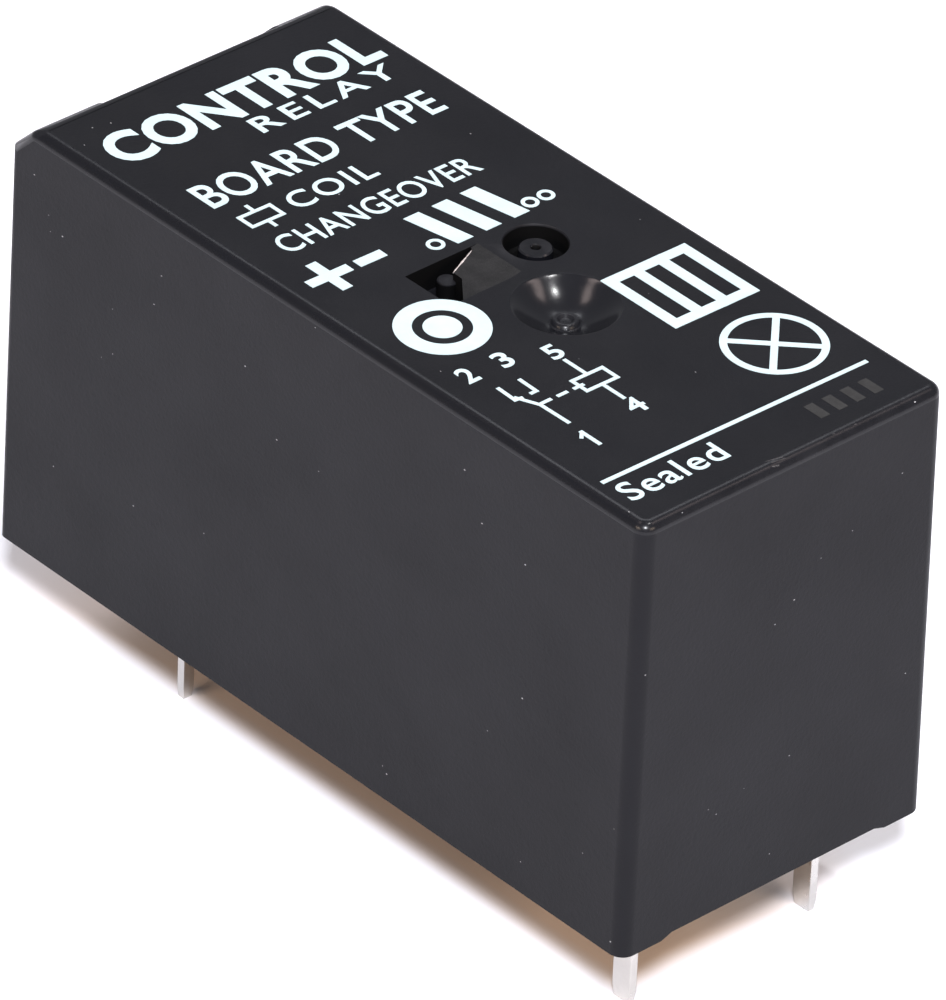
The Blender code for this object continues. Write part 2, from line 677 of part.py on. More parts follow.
def build_armature(looks, parent):
    """The armature stands on the yoke's end and leans open at rest; its origin is on the hinge line."""
    def plate(bm):
        low = YOKE_FLOOR + SEAT_GAP - HINGE_Z
        waist = COIL_AXIS + POLE_RADIUS - HINGE_Z
        top = CARD_TOP + ARMATURE_OVER_CARD - HINGE_Z
        wide, narrow = ARMATURE_WIDTH / 2, ARMATURE_TONGUE / 2
        outline = [
            (-wide, low),
            (wide, low),
            (wide, waist - SHOULDER),
            (wide - 0.8, waist),
            (narrow, waist + 0.3),
            (narrow, top),
            (-narrow, top),
            (-narrow, waist + 0.3),
            (-wide + 0.8, waist),
            (-wide, waist - SHOULDER),
        ]
        add_prism(bm, outline, -ARMATURE_THICKNESS, 0.0, "X")

    made = piece("armature", plate, looks["iron"], at=(HINGE_X, 0, HINGE_Z), parent=parent, bevel=0.06)
    made.rotation_euler = (0, -ARMATURE_OPEN, 0)

    def clip(bm):
        back = HINGE_X - ARMATURE_THICKNESS - CLIP_BEHIND
        low = BASE_TOP + SEAT_GAP
        outline = [
            (POLE_X + CLIP_UNDER_YOKE, low),
            (POLE_X + CLIP_UNDER_YOKE, low + CLIP_THICKNESS),
            (back, low + CLIP_THICKNESS),
            (back, low + CLIP_HEIGHT),
            (back - 0.2, low + CLIP_HEIGHT + 0.3),
            (back - 0.2 - CLIP_THICKNESS, low + CLIP_HEIGHT + 0.3),
            (back - CLIP_THICKNESS, low + CLIP_HEIGHT),
            (back - CLIP_THICKNESS, low),
        ]
        add_prism(bm, outline, -CLIP_WIDTH / 2, CLIP_WIDTH / 2)

    piece("armature_clip", clip, looks["spring"], parent=parent)

    def barrier(bm):
        back = TIP_AT_REST - ARMATURE_THICKNESS - AIR_GAP
        edge = ROOM_Y - AIR_GAP
        low = (back - BARRIER_THICKNESS, -edge, BASE_TOP + SEAT_GAP)
        add_box(bm, low, (back, edge, CARD_FLOOR - AIR_GAP))

    piece("barrier", barrier, looks["bobbin"], parent=parent, bevel=0.08)


def build_card(looks, parent):
    """The card carries the armature's stroke to the contact blade."""
    tail = BLADE_X - CARD_MARGIN
    nose = TIP_AT_REST + CARD_MARGIN

    def plate(bm):
        low = (tail, -CARD_WIDTH / 2, -CARD_THICKNESS / 2)
        add_box(bm, low, (nose, CARD_WIDTH / 2, CARD_THICKNESS / 2))

    made = piece("actuator_card", plate, looks["card"], at=(0, 0, CARD_MIDDLE), parent=parent)
    lean = math.tan(max(ARMATURE_OPEN, BLADE_SWING)) * CARD_THICKNESS / 2

    def windows(bm):
        for front, back, wide in (
            (TIP_AT_REST + 0.02, TIP_AT_REST - ARMATURE_THICKNESS - 0.02, ARMATURE_TONGUE),
            (BLADE_X + BLADE_THICKNESS / 2, BLADE_X - BLADE_THICKNESS / 2, BLADE_WIDTH * NECK_SHARE),
        ):
            reach = wide / 2 + RUN_GAP
            low = (back - lean - RUN_GAP, -reach, CARD_FLOOR - 0.5)
            add_box(bm, low, (front + lean + RUN_GAP, reach, CARD_TOP + 0.5))

    shape_with(made, "card_windows", windows)


def contact_rivet(bm, head_from, direction, shank):
    """A contact rivet along X: a slightly domed head whose back is at `head_from`, and a shank behind it."""
    profile = [
        (0, -shank),
        (SHANK_RADIUS, -shank),
        (SHANK_RADIUS, 0),
        (CONTACT_RADIUS, 0),
        (CONTACT_RADIUS, CONTACT_HEAD * 0.6),
        (CONTACT_RADIUS * 0.85, CONTACT_HEAD * 0.88),
        (SHANK_RADIUS, CONTACT_HEAD),
        (0, CONTACT_HEAD),
    ]
    turned = [(radius, head_from + direction * height) for radius, height in profile]
    add_turning(bm, turned, "X", (0, 0, CONTACT_Z))


def bent_terminal(bm, pin_x, plate_x, side):
    """A fixed contact's terminal above the base: up, across and up again, as one bent sheet."""
    half = SHEET / 2
    low = BASE_TOP + SEAT_GAP
    shelf = low + TERMINAL_SHELF
    top = CONTACT_Z + CONTACT_RADIUS + TERMINAL_MARGIN
    toward = math.copysign(1.0, plate_x - pin_x)
    outline = [
        (pin_x - toward * half, low),
        (pin_x + toward * half, low),
        (pin_x + toward * half, shelf - SHEET),
        (plate_x + toward * half, shelf - SHEET),
        (plate_x + toward * half, top),
        (plate_x - toward * half, top),
        (plate_x - toward * half, shelf),
        (pin_x - toward * half, shelf),
    ]
    pin_edge = side * (COIL_PIN_Y + CONTACT_PIN_SIZE[1] / 2)
    far_edge = -side * (CONTACT_RADIUS + 0.2)
    add_prism(bm, outline, min(pin_edge, far_edge), max(pin_edge, far_edge))


def rivet_hole(bm, from_x, to_x):
    profile = [
        (0, from_x),
        (SHANK_RADIUS + SLOT_GAP, from_x),
        (SHANK_RADIUS + SLOT_GAP, to_x),
        (0, to_x),
    ]
    add_turning(bm, profile, "X", (0, 0, CONTACT_Z))


def build_contacts(looks, parent):
    places = pin_places()
    closed_plate = BLADE_X - MOVING_FACE - TOUCH_GAP - CONTACT_HEAD - SEAT_GAP - SHEET / 2
    tilt_room = CONTACT_RADIUS * math.tan(BLADE_SWING) * 0.5
    open_face = BLADE_X + MOVING_FACE + CONTACT_STROKE + tilt_room + TOUCH_GAP
    open_plate = open_face + CONTACT_HEAD + SEAT_GAP + SHEET / 2

    for name, plate_x, direction in (("closed", closed_plate, 1.0), ("open", open_plate, -1.0)):
        x, y, size = places[name]
        terminal = piece(
            name + "_terminal",
            lambda bm: bent_terminal(bm, x, plate_x, 1.0),
            looks["tin"],
            parent=parent,
        )
        shape_with(
            terminal,
            name + "_terminal_pin",
            lambda bm: add_pin(bm, x, y, size, BASE_TOP + 0.5),
            "UNION",
        )
        shape_with(
            terminal,
            name + "_terminal_hole",
            lambda bm: rivet_hole(bm, plate_x - 0.5, plate_x + 0.5),
        )
        head_from = plate_x + direction * (SHEET / 2 + SEAT_GAP)
        piece(
            name + "_contact",
            lambda bm: contact_rivet(bm, head_from, direction, SHEET + 2 * SEAT_GAP + 0.1),
            looks["silver"],
            parent=parent,
            smooth=True,
        )

    build_common(looks, parent, places["common"])


def build_common(looks, parent, place):
    x, y, size = place
    half_blade = BLADE_WIDTH / 2
    low = BASE_TOP + SEAT_GAP
    rivet_z = (low + FOOT_PLATE_TOP) / 2
    rivet_ys = (-half_blade * 0.5, half_blade * 0.5)

    def plate(bm):
        outline = [
            (y - size[1] / 2, low),
            (half_blade, low),
            (half_blade, FOOT_PLATE_TOP),
            (-half_blade, FOOT_PLATE_TOP),
            (y - size[1] / 2, low + FOOT_PLATE_STEP),
        ]
        add_prism(bm, outline, x - SHEET / 2, x + SHEET / 2, "X")

    def foot(bm):
        outline = [
            (-half_blade, low + 0.1),
            (half_blade, low + 0.1),
            (half_blade, FOOT_PLATE_TOP),
            (-half_blade, FOOT_PLATE_TOP),
        ]
        add_prism(bm, outline, BLADE_X - BLADE_THICKNESS / 2, BLADE_X + BLADE_THICKNESS / 2, "X")

    def holes(bm):
        for hole_y in rivet_ys:
            radius = FOOT_RIVET_RADIUS + SLOT_GAP
            profile = [(0, x - 1.0), (radius, x - 1.0), (radius, x + 1.0), (0, x + 1.0)]
            add_turning(bm, profile, "X", (0, hole_y, rivet_z), 16)

    terminal = piece("common_terminal", plate, looks["tin"], parent=parent)
    shape_with(terminal, "common_terminal_pin", lambda bm: add_pin(bm, x, y, size, BASE_TOP + 0.5), "UNION")
    shape_with(terminal, "common_terminal_holes", holes)
    blade_foot = piece("blade_foot", foot, looks["spring"], parent=parent)
    shape_with(blade_foot, "blade_foot_holes", holes)

    for number, hole_y in enumerate(rivet_ys, 1):
        head_near = BLADE_X - BLADE_THICKNESS / 2 - SEAT_GAP
        head_far = x + SHEET / 2 + SEAT_GAP

        def rivet(bm):
            profile = [
                (0, head_near - FOOT_RIVET_DEPTH),
                (0.4, head_near - FOOT_RIVET_DEPTH),
                (FOOT_RIVET_HEAD, head_near),
                (FOOT_RIVET_RADIUS, head_near),
                (FOOT_RIVET_RADIUS, head_far),
                (FOOT_RIVET_HEAD, head_far),
                (0.4, head_far + FOOT_RIVET_DEPTH),
                (0, head_far + FOOT_RIVET_DEPTH),
            ]
            add_turning(bm, profile, "X", (0, 0, 0), 16)

        piece(
            f"blade_rivet_{number}",
            rivet,
            looks["tin"],
            at=(0, hole_y, rivet_z),
            parent=parent,
            smooth=True,
        )

    def blade(bm):
        tip = CARD_TOP + BLADE_OVER_CARD - BLADE_ROOT
        neck = CARD_FLOOR - BLADE_NECK - BLADE_ROOT
        narrow = half_blade * NECK_SHARE
        outline = [
            (-half_blade, 0.0),
            (half_blade, 0.0),
            (half_blade, neck - BLADE_NECK),
            (narrow, neck),
            (narrow, tip),
            (-narrow, tip),
            (-narrow, neck),
            (-half_blade, neck - BLADE_NECK),
        ]
        add_prism(bm, outline, -BLADE_THICKNESS / 2, BLADE_THICKNESS / 2, "X")

    def blade_hole(bm):
        rivet_hole(bm, BLADE_X - 0.5, BLADE_X + 0.5)

    def moving_rivet(bm):
        half_grip = BLADE_THICKNESS / 2 + SEAT_GAP
        side = [
            (SHANK_RADIUS, half_grip),
            (CONTACT_RADIUS, half_grip),
            (CONTACT_RADIUS, half_grip + (CONTACT_HEAD - SEAT_GAP) * 0.6),
            (CONTACT_RADIUS * 0.85, half_grip + (CONTACT_HEAD - SEAT_GAP) * 0.88),
            (SHANK_RADIUS, MOVING_FACE),
            (0, MOVING_FACE),
        ]
        profile = [(radius, -height) for radius, height in reversed(side)] + side
        add_turning(bm, profile, "X")

    spring = piece("contact_blade", blade, looks["spring"], at=(BLADE_X, 0, BLADE_ROOT), parent=parent)
    shape_with(spring, "contact_blade_hole", blade_hole)
    piece(
        "moving_contact",
        moving_rivet,
        looks["silver"],
        at=(0, 0, CONTACT_Z - BLADE_ROOT),
        parent=spring,
        smooth=True,
    )


def main():
    clear_scene()
    frame = bpy.data.objects.new("case_frame", None)
    bpy.context.scene.collection.objects.link(frame)
    frame.location = (0, 0, PIN_LENGTH * MM)
    looks = {
        "case": material("case_plastic", (0.032, 0.033, 0.037), 0.5, 0.0),
        "base": material("base_plastic", (0.025, 0.025, 0.028), 0.55, 0.0),
        "resin": material("resin", (0.02, 0.02, 0.022), 0.25, 0.0),
        "bobbin": material("bobbin_plastic", (0.75, 0.72, 0.64), 0.5, 0.0),
        "card": material("card_plastic", (0.8, 0.8, 0.78), 0.45, 0.0),
        "copper": material("copper_wire", (0.62, 0.2, 0.08), 0.35, 1.0),
        "enamel": material("enamelled_wire", (0.66, 0.24, 0.1), 0.3, 1.0),
        "tape": material("tape", (0.75, 0.55, 0.12), 0.4, 0.0),
        "iron": material("plated_iron", (0.56, 0.55, 0.52), 0.35, 1.0),
        "tin": material("tinned_copper", (0.78, 0.77, 0.74), 0.28, 1.0),
        "spring": material("spring_bronze", (0.72, 0.45, 0.26), 0.3, 1.0),
        "silver": material("contact_silver", (0.85, 0.84, 0.82), 0.22, 1.0),
    }
    build_case(looks["case"], frame)
    build_floor(looks, frame)
    build_magnet(looks, frame)
    build_coil_terminals(looks, frame)
    build_armature(looks, frame)
    build_card(looks, frame)
    build_contacts(looks, frame)
    bpy.context.view_layer.update()


main()
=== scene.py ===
"""Board-mount control relay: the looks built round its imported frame.

Shapes are made in millimetres, with heights measured from the case's lower rim, and turned into metres when a
piece is finished. X runs along the case, Y across it and Z up from the pin tips.
"""

import json
import math

import bmesh
import bpy
from mathutils import Matrix, Vector


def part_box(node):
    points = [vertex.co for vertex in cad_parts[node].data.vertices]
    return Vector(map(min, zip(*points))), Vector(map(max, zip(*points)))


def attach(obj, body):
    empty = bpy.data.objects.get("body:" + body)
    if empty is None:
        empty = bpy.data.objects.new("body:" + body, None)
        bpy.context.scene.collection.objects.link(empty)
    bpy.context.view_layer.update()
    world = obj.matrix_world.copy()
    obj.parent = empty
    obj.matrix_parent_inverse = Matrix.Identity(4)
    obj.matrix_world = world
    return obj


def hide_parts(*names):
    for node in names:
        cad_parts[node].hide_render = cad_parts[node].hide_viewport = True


bl_info = {
    "name": "Control relay",
    "version": (1, 0, 0),
    "blender": (4, 5, 0),
    "location": "View3D > Sidebar > Relay",
    "description": "Builds the finished pieces of a board-mount control relay round its frame",
    "category": "Object",
}

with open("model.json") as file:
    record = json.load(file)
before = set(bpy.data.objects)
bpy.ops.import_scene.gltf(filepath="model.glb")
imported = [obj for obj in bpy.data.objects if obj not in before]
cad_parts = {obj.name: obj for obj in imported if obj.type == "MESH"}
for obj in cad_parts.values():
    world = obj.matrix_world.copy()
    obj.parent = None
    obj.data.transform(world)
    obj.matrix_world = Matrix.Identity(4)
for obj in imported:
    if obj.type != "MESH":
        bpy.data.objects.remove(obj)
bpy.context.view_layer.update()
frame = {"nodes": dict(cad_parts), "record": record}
MM = 0.001
CASE_LOW, CASE_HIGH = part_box("cover")
RIM = CASE_LOW.z / MM
HEIGHT = (CASE_HIGH.z - CASE_LOW.z) / MM
HALF_LENGTH = (CASE_HIGH.x - CASE_LOW.x) / 2 / MM
HALF_WIDTH = (CASE_HIGH.y - CASE_LOW.y) / 2 / MM
TOP = RIM + HEIGHT
SLOT_OF = {name: node.data.materials[0].name.split(".")[0] for name, node in frame["nodes"].items()}
BODY_OF = {n: body for body, names in frame["record"]["behaviour"]["bodies"].items() for n in names}


def length(name, about, value):
    return bpy.props.FloatProperty(
        name=name, description=about, default=value * MM, subtype="DISTANCE", unit="LENGTH", precision=5
    )


def tint(name, about, value):
    return bpy.props.FloatVectorProperty(
        name=name, description=about, default=value, subtype="COLOR", size=3, min=0.0, max=1.0
    )


def share(name, about, value, top=1.0):
    return bpy.props.FloatProperty(name=name, description=about, default=value, min=0.0, max=top)


class RelayCaseSizes(bpy.types.PropertyGroup):
    lean: length("Wall lean", "How far each side leans in over the full height", 0.15)
    corner: length("Corner radius", "Rounding of the upright corners", 0.5)
    crown: length("Top radius", "Rounding round the top face", 0.35)
    chamfer: length("End chamfer", "Slope along the contact end's top edge", 1.0)
    softening: length("Edge softening", "Small rounding on every crisp moulded edge", 0.035)
    dish_radius: length("Dish radius", "Radius of the polished dish in the top", 1.74)
    dish_depth: length("Dish depth", "Depth of the polished dish", 0.78)
    gate_radius: length("Gate radius", "Radius of the round well", 1.0)
    gate_depth: length("Gate depth", "Depth of the round well", 0.8)
    vent_depth: length("Vent depth", "Depth of the vent pit", 0.9)
    vent_ramp: length("Ramp depth", "Depth of the vent's ramp at its deep end", 0.045)


class RelayPrintSizes(bpy.types.PropertyGroup):
    ink: tint("Ink", "Colour of the printed marks", (0.48, 0.6, 0.63))
    ghost: tint("Embossed marks", "Colour of the faint marks by the coil end", (0.015, 0.0145, 0.0145))
    film: length("Ink film", "How far the print stands on the top", 0.012)
    slant: share("Slant", "How far the print turns from square to the case, as a slope", 0.016)


class RelayFinish(bpy.types.PropertyGroup):
    case: tint("Case", "Colour of the moulded case", (0.0056, 0.0058, 0.0078))
    case_worn: tint("Case edges", "Colour where the case's edges are rubbed", (0.05, 0.05, 0.055))
    tin: tint("Tinned copper", "Colour of the pins and terminals", (0.6, 0.58, 0.55))
    bobbin: tint("Bobbin", "Colour of the natural moulding", (0.6, 0.57, 0.48))


class RelayStage(bpy.types.PropertyGroup):
    floor: tint("Floor", "Colour of the pale floor", (0.88, 0.885, 0.94))
    # Painted shadow: a warmer, darker floor colour under the relay stands in for the shade it casts.
    painted_floor_shadow: tint(
        "Floor under the relay", "Warm tone of the floor in the relay's own shade", (0.82, 0.64, 0.52)
    )
    room: share("Room light", "Strength of the even light all round", 0.31, 5.0)
    front: share("Front light", "Power of the lamp over the camera, in watts", 5.6, 50.0)
    overhead: share("Overhead light", "Power of the small light overhead, in watts", 0.4, 50.0)
    side: share("Side boxes", "Power of each narrow side box, in watts", 0.2, 50.0)
    canopy: share("Canopy", "Power of the broad light beyond the relay, in watts", 0.5, 50.0)
    low: share("Low fill", "Power of each warm light low beside the camera, in watts", 1.3, 50.0)


def fill(tree, socket, value):
    """Links an output to an input, or gives the input a plain value."""
    if isinstance(value, bpy.types.NodeSocket):
        tree.links.new(value, socket)
    elif socket.type == "RGBA":
        socket.default_value = (*value, 1.0)
    else:
        socket.default_value = value


def add_node(tree, kind, **inputs):
    """Adds a node and fills its inputs, whose names are given with _ for a space."""
    node = tree.nodes.new(kind)
    for label, value in inputs.items():
        fill(tree, node.inputs[label.replace("_", " ")], value)
    return node


def add_math(tree, operation, first, second):
    node = tree.nodes.new("ShaderNodeMath")
    node.operation = operation
    fill(tree, node.inputs[0], first)
    fill(tree, node.inputs[1], second)
    return node.outputs[0]


def add_noise(tree, vector, scale, detail=3.0, rough=0.55):
    noise = add_node(tree, "ShaderNodeTexNoise", Vector=vector, Scale=scale, Detail=detail, Roughness=rough)
    return noise.outputs["Fac"]


def add_ramp(tree, value, low, high):
    return add_node(tree, "ShaderNodeMapRange", Value=value, From_Min=low, From_Max=high).outputs["Result"]


def add_mix(tree, amount, first, second):
    node = tree.nodes.new("ShaderNodeMix")
    node.data_type = "RGBA"
    for index, value in ((0, amount), (6, first), (7, second)):  # a colour mix's factor, A and B
        fill(tree, node.inputs[index], value)
    return node.outputs[2]


def look_group(name, inputs, outputs):
    """An empty shader group with its sockets."""
    tree = bpy.data.node_groups.new(name, "ShaderNodeTree")
    for label, kind, value in inputs:
        socket = tree.interface.new_socket(name=label, in_out="INPUT", socket_type=kind)
        if value is not None:
            socket.default_value = value
    for label, kind in outputs:
        tree.interface.new_socket(name=label, in_out="OUTPUT", socket_type=kind)
    return tree, tree.nodes.new("NodeGroupInput"), tree.nodes.new("NodeGroupOutput")


GRAIN_LAYERS = ((3.7, 0.45), (0.06, 0.8))  # scale and strength of the fine grain and the swell
SPOT_RANGE = (0.62, 0.72)  # the ranges of noise that become masks
TONE_RANGE = (0.35, 0.68)
RUB_RANGE = (0.38, 0.7)
UPWARD_RANGE = (-0.2, 0.9)
SPECK_SCALE, SPECK_RANGE = 9000.0, (0.7, 0.78)
VEIL_SCALE, VEIL_RANGE = 350.0, (0.4, 0.9)
DUST_COLOUR = (0.5, 0.49, 0.47)
SPOT_ROUGHNESS = 0.06
SCRATCH_SCALE = (900.0, 900.0, 14000.0)


def grain_group():
    """Fine surface grain: a height for bump and a mask of its high spots."""
    tree, start, end = look_group(
        "surface_grain",
        [("Vector", "NodeSocketVector", None), ("Scale", "NodeSocketFloat", 6000.0)],
        [("Height", "NodeSocketFloat"), ("Spots", "NodeSocketFloat")],
    )
    vector, scale = start.outputs["Vector"], start.outputs["Scale"]
    coarse = add_noise(tree, vector, scale, 4.0, 0.6)
    height = coarse
    for times, strength in GRAIN_LAYERS:
        layer = add_noise(tree, vector, add_math(tree, "MULTIPLY", scale, times), 2.0, 0.5)
        height = add_math(tree, "ADD", height, add_math(tree, "MULTIPLY", layer, strength))
    fill(tree, end.inputs["Height"], height)
    fill(tree, end.inputs["Spots"], add_ramp(tree, coarse, *SPOT_RANGE))
    return tree


def tone_group():
    """Slow colour variation between two tones, and its mask."""
    tree, start, end = look_group(
        "slow_tone",
        [
            ("Vector", "NodeSocketVector", None),
            ("Colour", "NodeSocketColor", (0.5, 0.5, 0.5, 1.0)),
            ("Second Colour", "NodeSocketColor", (0.4, 0.4, 0.4, 1.0)),
            ("Scale", "NodeSocketFloat", 300.0),
        ],
        [("Colour", "NodeSocketColor"), ("Mask", "NodeSocketFloat")],
    )
    cloud = add_noise(tree, start.outputs["Vector"], start.outputs["Scale"], 5.0, 0.62)
    mask = add_ramp(tree, cloud, *TONE_RANGE)
    mixed = add_mix(tree, mask, start.outputs["Colour"], start.outputs["Second Colour"])
    fill(tree, end.inputs["Colour"], mixed)
    fill(tree, end.inputs["Mask"], mask)
    return tree


def wear_group():
    """Rubbed edges: the mesh's wear attribute broken up by noise."""
    tree, start, end = look_group(
        "edge_wear",
        [
            ("Vector", "NodeSocketVector", None),
            ("Amount", "NodeSocketFloat", 0.5),
            ("Scale", "NodeSocketFloat", 900.0),
        ],
        [("Mask", "NodeSocketFloat")],
    )
    edge = tree.nodes.new("ShaderNodeAttribute")
    edge.attribute_name = "wear"
    noise = add_noise(tree, start.outputs["Vector"], start.outputs["Scale"], 4.0)
    mask = add_math(tree, "MULTIPLY", edge.outputs["Fac"], add_ramp(tree, noise, *RUB_RANGE))
    fill(tree, end.inputs["Mask"], add_math(tree, "MULTIPLY", mask, start.outputs["Amount"]))
    return tree


def dust_group():
    """Fine dust that settles on what faces up."""
    tree, start, end = look_group(
        "settled_dust",
        [("Vector", "NodeSocketVector", None), ("Amount", "NodeSocketFloat", 0.3)],
        [("Mask", "NodeSocketFloat")],
    )
    vector = start.outputs["Vector"]
    normal = tree.nodes.new("ShaderNodeNewGeometry").outputs["Normal"]
    facing = add_node(tree, "ShaderNodeSeparateXYZ", Vector=normal)
    upward = add_ramp(tree, facing.outputs["Z"], *UPWARD_RANGE)
    specks = add_ramp(tree, add_noise(tree, vector, SPECK_SCALE, 1.0), *SPECK_RANGE)
    veil = add_ramp(tree, add_noise(tree, vector, VEIL_SCALE, 4.0), *VEIL_RANGE)
    mask = add_math(tree, "MULTIPLY", add_math(tree, "ADD", specks, veil), upward)
    fill(tree, end.inputs["Mask"], add_math(tree, "MULTIPLY", mask, start.outputs["Amount"]))
    return tree


GROUPS = {}


def use_group(tree, name, vector, **values):
    if not GROUPS:
        GROUPS.update(grain=grain_group(), tone=tone_group(), wear=wear_group(), dust=dust_group())
    node = tree.nodes.new("ShaderNodeGroup")
    node.node_tree = GROUPS[name]
    for label, value in {"Vector": vector, **values}.items():
        fill(tree, node.inputs[label.replace("_", " ")], value)
    return node.outputs


def make_finish(
    name, colour, second, rough, metallic=0.0, tone_scale=300.0, grain_scale=6000.0, grain_height=0.004,
    wear=0.5, worn=(0.3, 0.3, 0.3), dust=0.0, coat=0.0, specular=0.5, scratch=0.0,
):
    """A procedural finish: slow tone, grain in roughness and bump, rubbed edges and a little dust."""
    made = bpy.data.materials.new(name)
    made.use_nodes = True
    tree = made.node_tree
    place = tree.nodes.new("ShaderNodeTexCoord").outputs["Object"]
    tone = use_group(tree, "tone", place, Colour=colour, Second_Colour=second, Scale=tone_scale)
    grain = use_group(tree, "grain", place, Scale=grain_scale)
    paint = add_mix(tree, use_group(tree, "wear", place, Amount=wear)["Mask"], tone["Colour"], worn)
    if dust:
        paint = add_mix(tree, use_group(tree, "dust", place, Amount=dust)["Mask"], paint, DUST_COLOUR)
    low, high = rough
    level = add_math(tree, "ADD", add_math(tree, "MULTIPLY", tone["Mask"], high - low), low)
    level = add_math(tree, "ADD", level, add_math(tree, "MULTIPLY", grain["Spots"], SPOT_ROUGHNESS))
    height = grain["Height"]
    if scratch:
        stretch = add_node(tree, "ShaderNodeMapping", Vector=place, Scale=SCRATCH_SCALE)
        lines = add_noise(tree, stretch.outputs[0], 1.0, 3.0)
        height = add_math(tree, "ADD", height, add_math(tree, "MULTIPLY", lines, scratch))
    bump = add_node(tree, "ShaderNodeBump", Distance=grain_height * MM, Height=height)
    for label, value in (
        ("Base Color", paint),
        ("Roughness", level),
        ("Normal", bump.outputs["Normal"]),
        ("Metallic", metallic),
        ("Specular IOR Level", specular),
        ("Coat Weight", coat),
    ):
        fill(tree, tree.nodes["Principled BSDF"].inputs[label], value)
    made.diffuse_color = (*colour, 1.0)
    return made


def dimmed(colour, part):
    return tuple(part * c for c in colour)


def recipes():
    """What each slot's finish is made from: two colours, the range of roughness, and the rest by name."""
    look, ink = bpy.context.scene.relay_finish, bpy.context.scene.relay_print
    case, worn, tin, bobbin = tuple(look.case), tuple(look.case_worn), tuple(look.tin), tuple(look.bobbin)
    printed, ghost = tuple(ink.ink), tuple(ink.ghost)
    darker = dimmed(case, 0.82)
    return {
        "case_plastic": (case, darker, (0.44, 0.5), dict(
            grain_scale=7000.0, grain_height=0.007, wear=0.3, worn=worn, dust=0.006, tone_scale=160.0,
            specular=0.135)),
        "case_rim": (case, darker, (0.24, 0.3), dict(
            grain_scale=5000.0, grain_height=0.002, wear=0.1, worn=worn, tone_scale=160.0, specular=0.25)),
        "case_polished": (case, darker, (0.15, 0.22), dict(
            grain_scale=2500.0, grain_height=0.002, wear=0.0, worn=worn, specular=0.42)),
        # The recess finish is darker and less shiny than the case: painted shade for the walls and floors
        # down in the gate well and the vent pit.
        "case_recess": ((0.0028, 0.0028, 0.003), (0.002, 0.002, 0.0022), (0.4, 0.5), dict(
            grain_scale=5000.0, wear=0.0, specular=0.12)),
        "case_cut": ((0.012, 0.0115, 0.012), (0.006, 0.006, 0.0065), (0.5, 0.64), dict(
            grain_scale=4200.0, grain_height=0.03, wear=0.3, worn=(0.05, 0.05, 0.05), tone_scale=1500.0,
            specular=0.25)),
        "stressed_plastic": ((0.62, 0.56, 0.55), (0.4, 0.36, 0.36), (0.4, 0.5), dict(
            wear=0.0, tone_scale=2500.0)),
        "scuffed_plastic": ((0.06, 0.057, 0.06), (0.015, 0.015, 0.017), (0.35, 0.5), dict(
            wear=0.0, tone_scale=3500.0)),
        "base_plastic": ((0.02, 0.02, 0.022), (0.015, 0.015, 0.017), (0.45, 0.55), dict(wear=0.4, worn=worn)),
        "resin": ((0.012, 0.012, 0.014), (0.02, 0.019, 0.019), (0.16, 0.28), dict(
            grain_scale=900.0, grain_height=0.02, wear=0.0, coat=0.3)),
        "bobbin_plastic": (bobbin, dimmed(bobbin, 0.86), (0.42, 0.52), dict(
            grain_scale=5000.0, grain_height=0.006, worn=(0.85, 0.83, 0.76))),
        "card_plastic": ((0.64, 0.64, 0.62), (0.56, 0.56, 0.53), (0.36, 0.46), dict(worn=(0.9, 0.9, 0.88))),
        "copper_wire": ((0.62, 0.2, 0.08), (0.5, 0.14, 0.05), (0.25, 0.38), dict(
            metallic=1.0, tone_scale=1800.0, grain_height=0.001)),
        "enamelled_wire": ((0.64, 0.23, 0.09), (0.5, 0.15, 0.05), (0.22, 0.34), dict(
            metallic=1.0, tone_scale=1500.0, grain_height=0.001)),
        "tape": ((0.62, 0.4, 0.07), (0.54, 0.33, 0.05), (0.28, 0.4), dict(
            grain_scale=1500.0, grain_height=0.01, tone_scale=500.0, coat=0.25)),
        "plated_iron": ((0.58, 0.57, 0.54), (0.48, 0.47, 0.45), (0.28, 0.42), dict(
            metallic=1.0, tone_scale=700.0, grain_height=0.003, worn=(0.75, 0.74, 0.72), scratch=0.3)),
        "tinned_copper": (tin, dimmed(tin, 0.9), (0.24, 0.38), dict(
            metallic=1.0, tone_scale=900.0, grain_scale=1800.0, grain_height=0.0008, worn=(0.9, 0.89, 0.87),
            scratch=0.1)),
        "spring_bronze": ((0.72, 0.5, 0.26), (0.6, 0.38, 0.18), (0.24, 0.36), dict(
            metallic=1.0, tone_scale=900.0, grain_height=0.002, worn=(0.8, 0.62, 0.36), scratch=0.4)),
        "contact_silver": ((0.86, 0.85, 0.82), (0.7, 0.69, 0.66), (0.22, 0.34), dict(
            metallic=1.0, tone_scale=1500.0, grain_height=0.002, worn=(0.92, 0.91, 0.9))),
        "printed_ink": (printed, dimmed(printed, 0.9), (0.5, 0.62), dict(
            grain_scale=9000.0, grain_height=0.003, wear=0.0, tone_scale=1200.0)),
        "embossed_mark": (ghost, dimmed(ghost, 0.7), (0.55, 0.68), dict(
            grain_scale=9000.0, grain_height=0.006, wear=0.0, tone_scale=2500.0)),
        "dust": ((0.3, 0.3, 0.31), (0.12, 0.12, 0.13), (0.6, 0.8), dict(grain_scale=9000.0, wear=0.0)),
    }


FINISHES = {}


def finish_of(slot):
    """The finish for a material slot, made when it is first asked for."""
    if slot not in FINISHES:
        colour, second, rough, rest = recipes()[slot]
        FINISHES[slot] = make_finish(slot, colour, second, rough, **rest)
    return FINISHES[slot]


def temporary(name, mesh):
    made = bpy.data.objects.new(name, mesh)
    bpy.context.scene.collection.objects.link(made)
    return made


def mesh_of(bm, name):
    """Closes a bmesh into a mesh whose faces all point outwards."""
    bmesh.ops.recalc_face_normals(bm, faces=bm.faces)
    mesh = bpy.data.meshes.new(name)
    bm.to_mesh(mesh)
    bm.free()
    return mesh


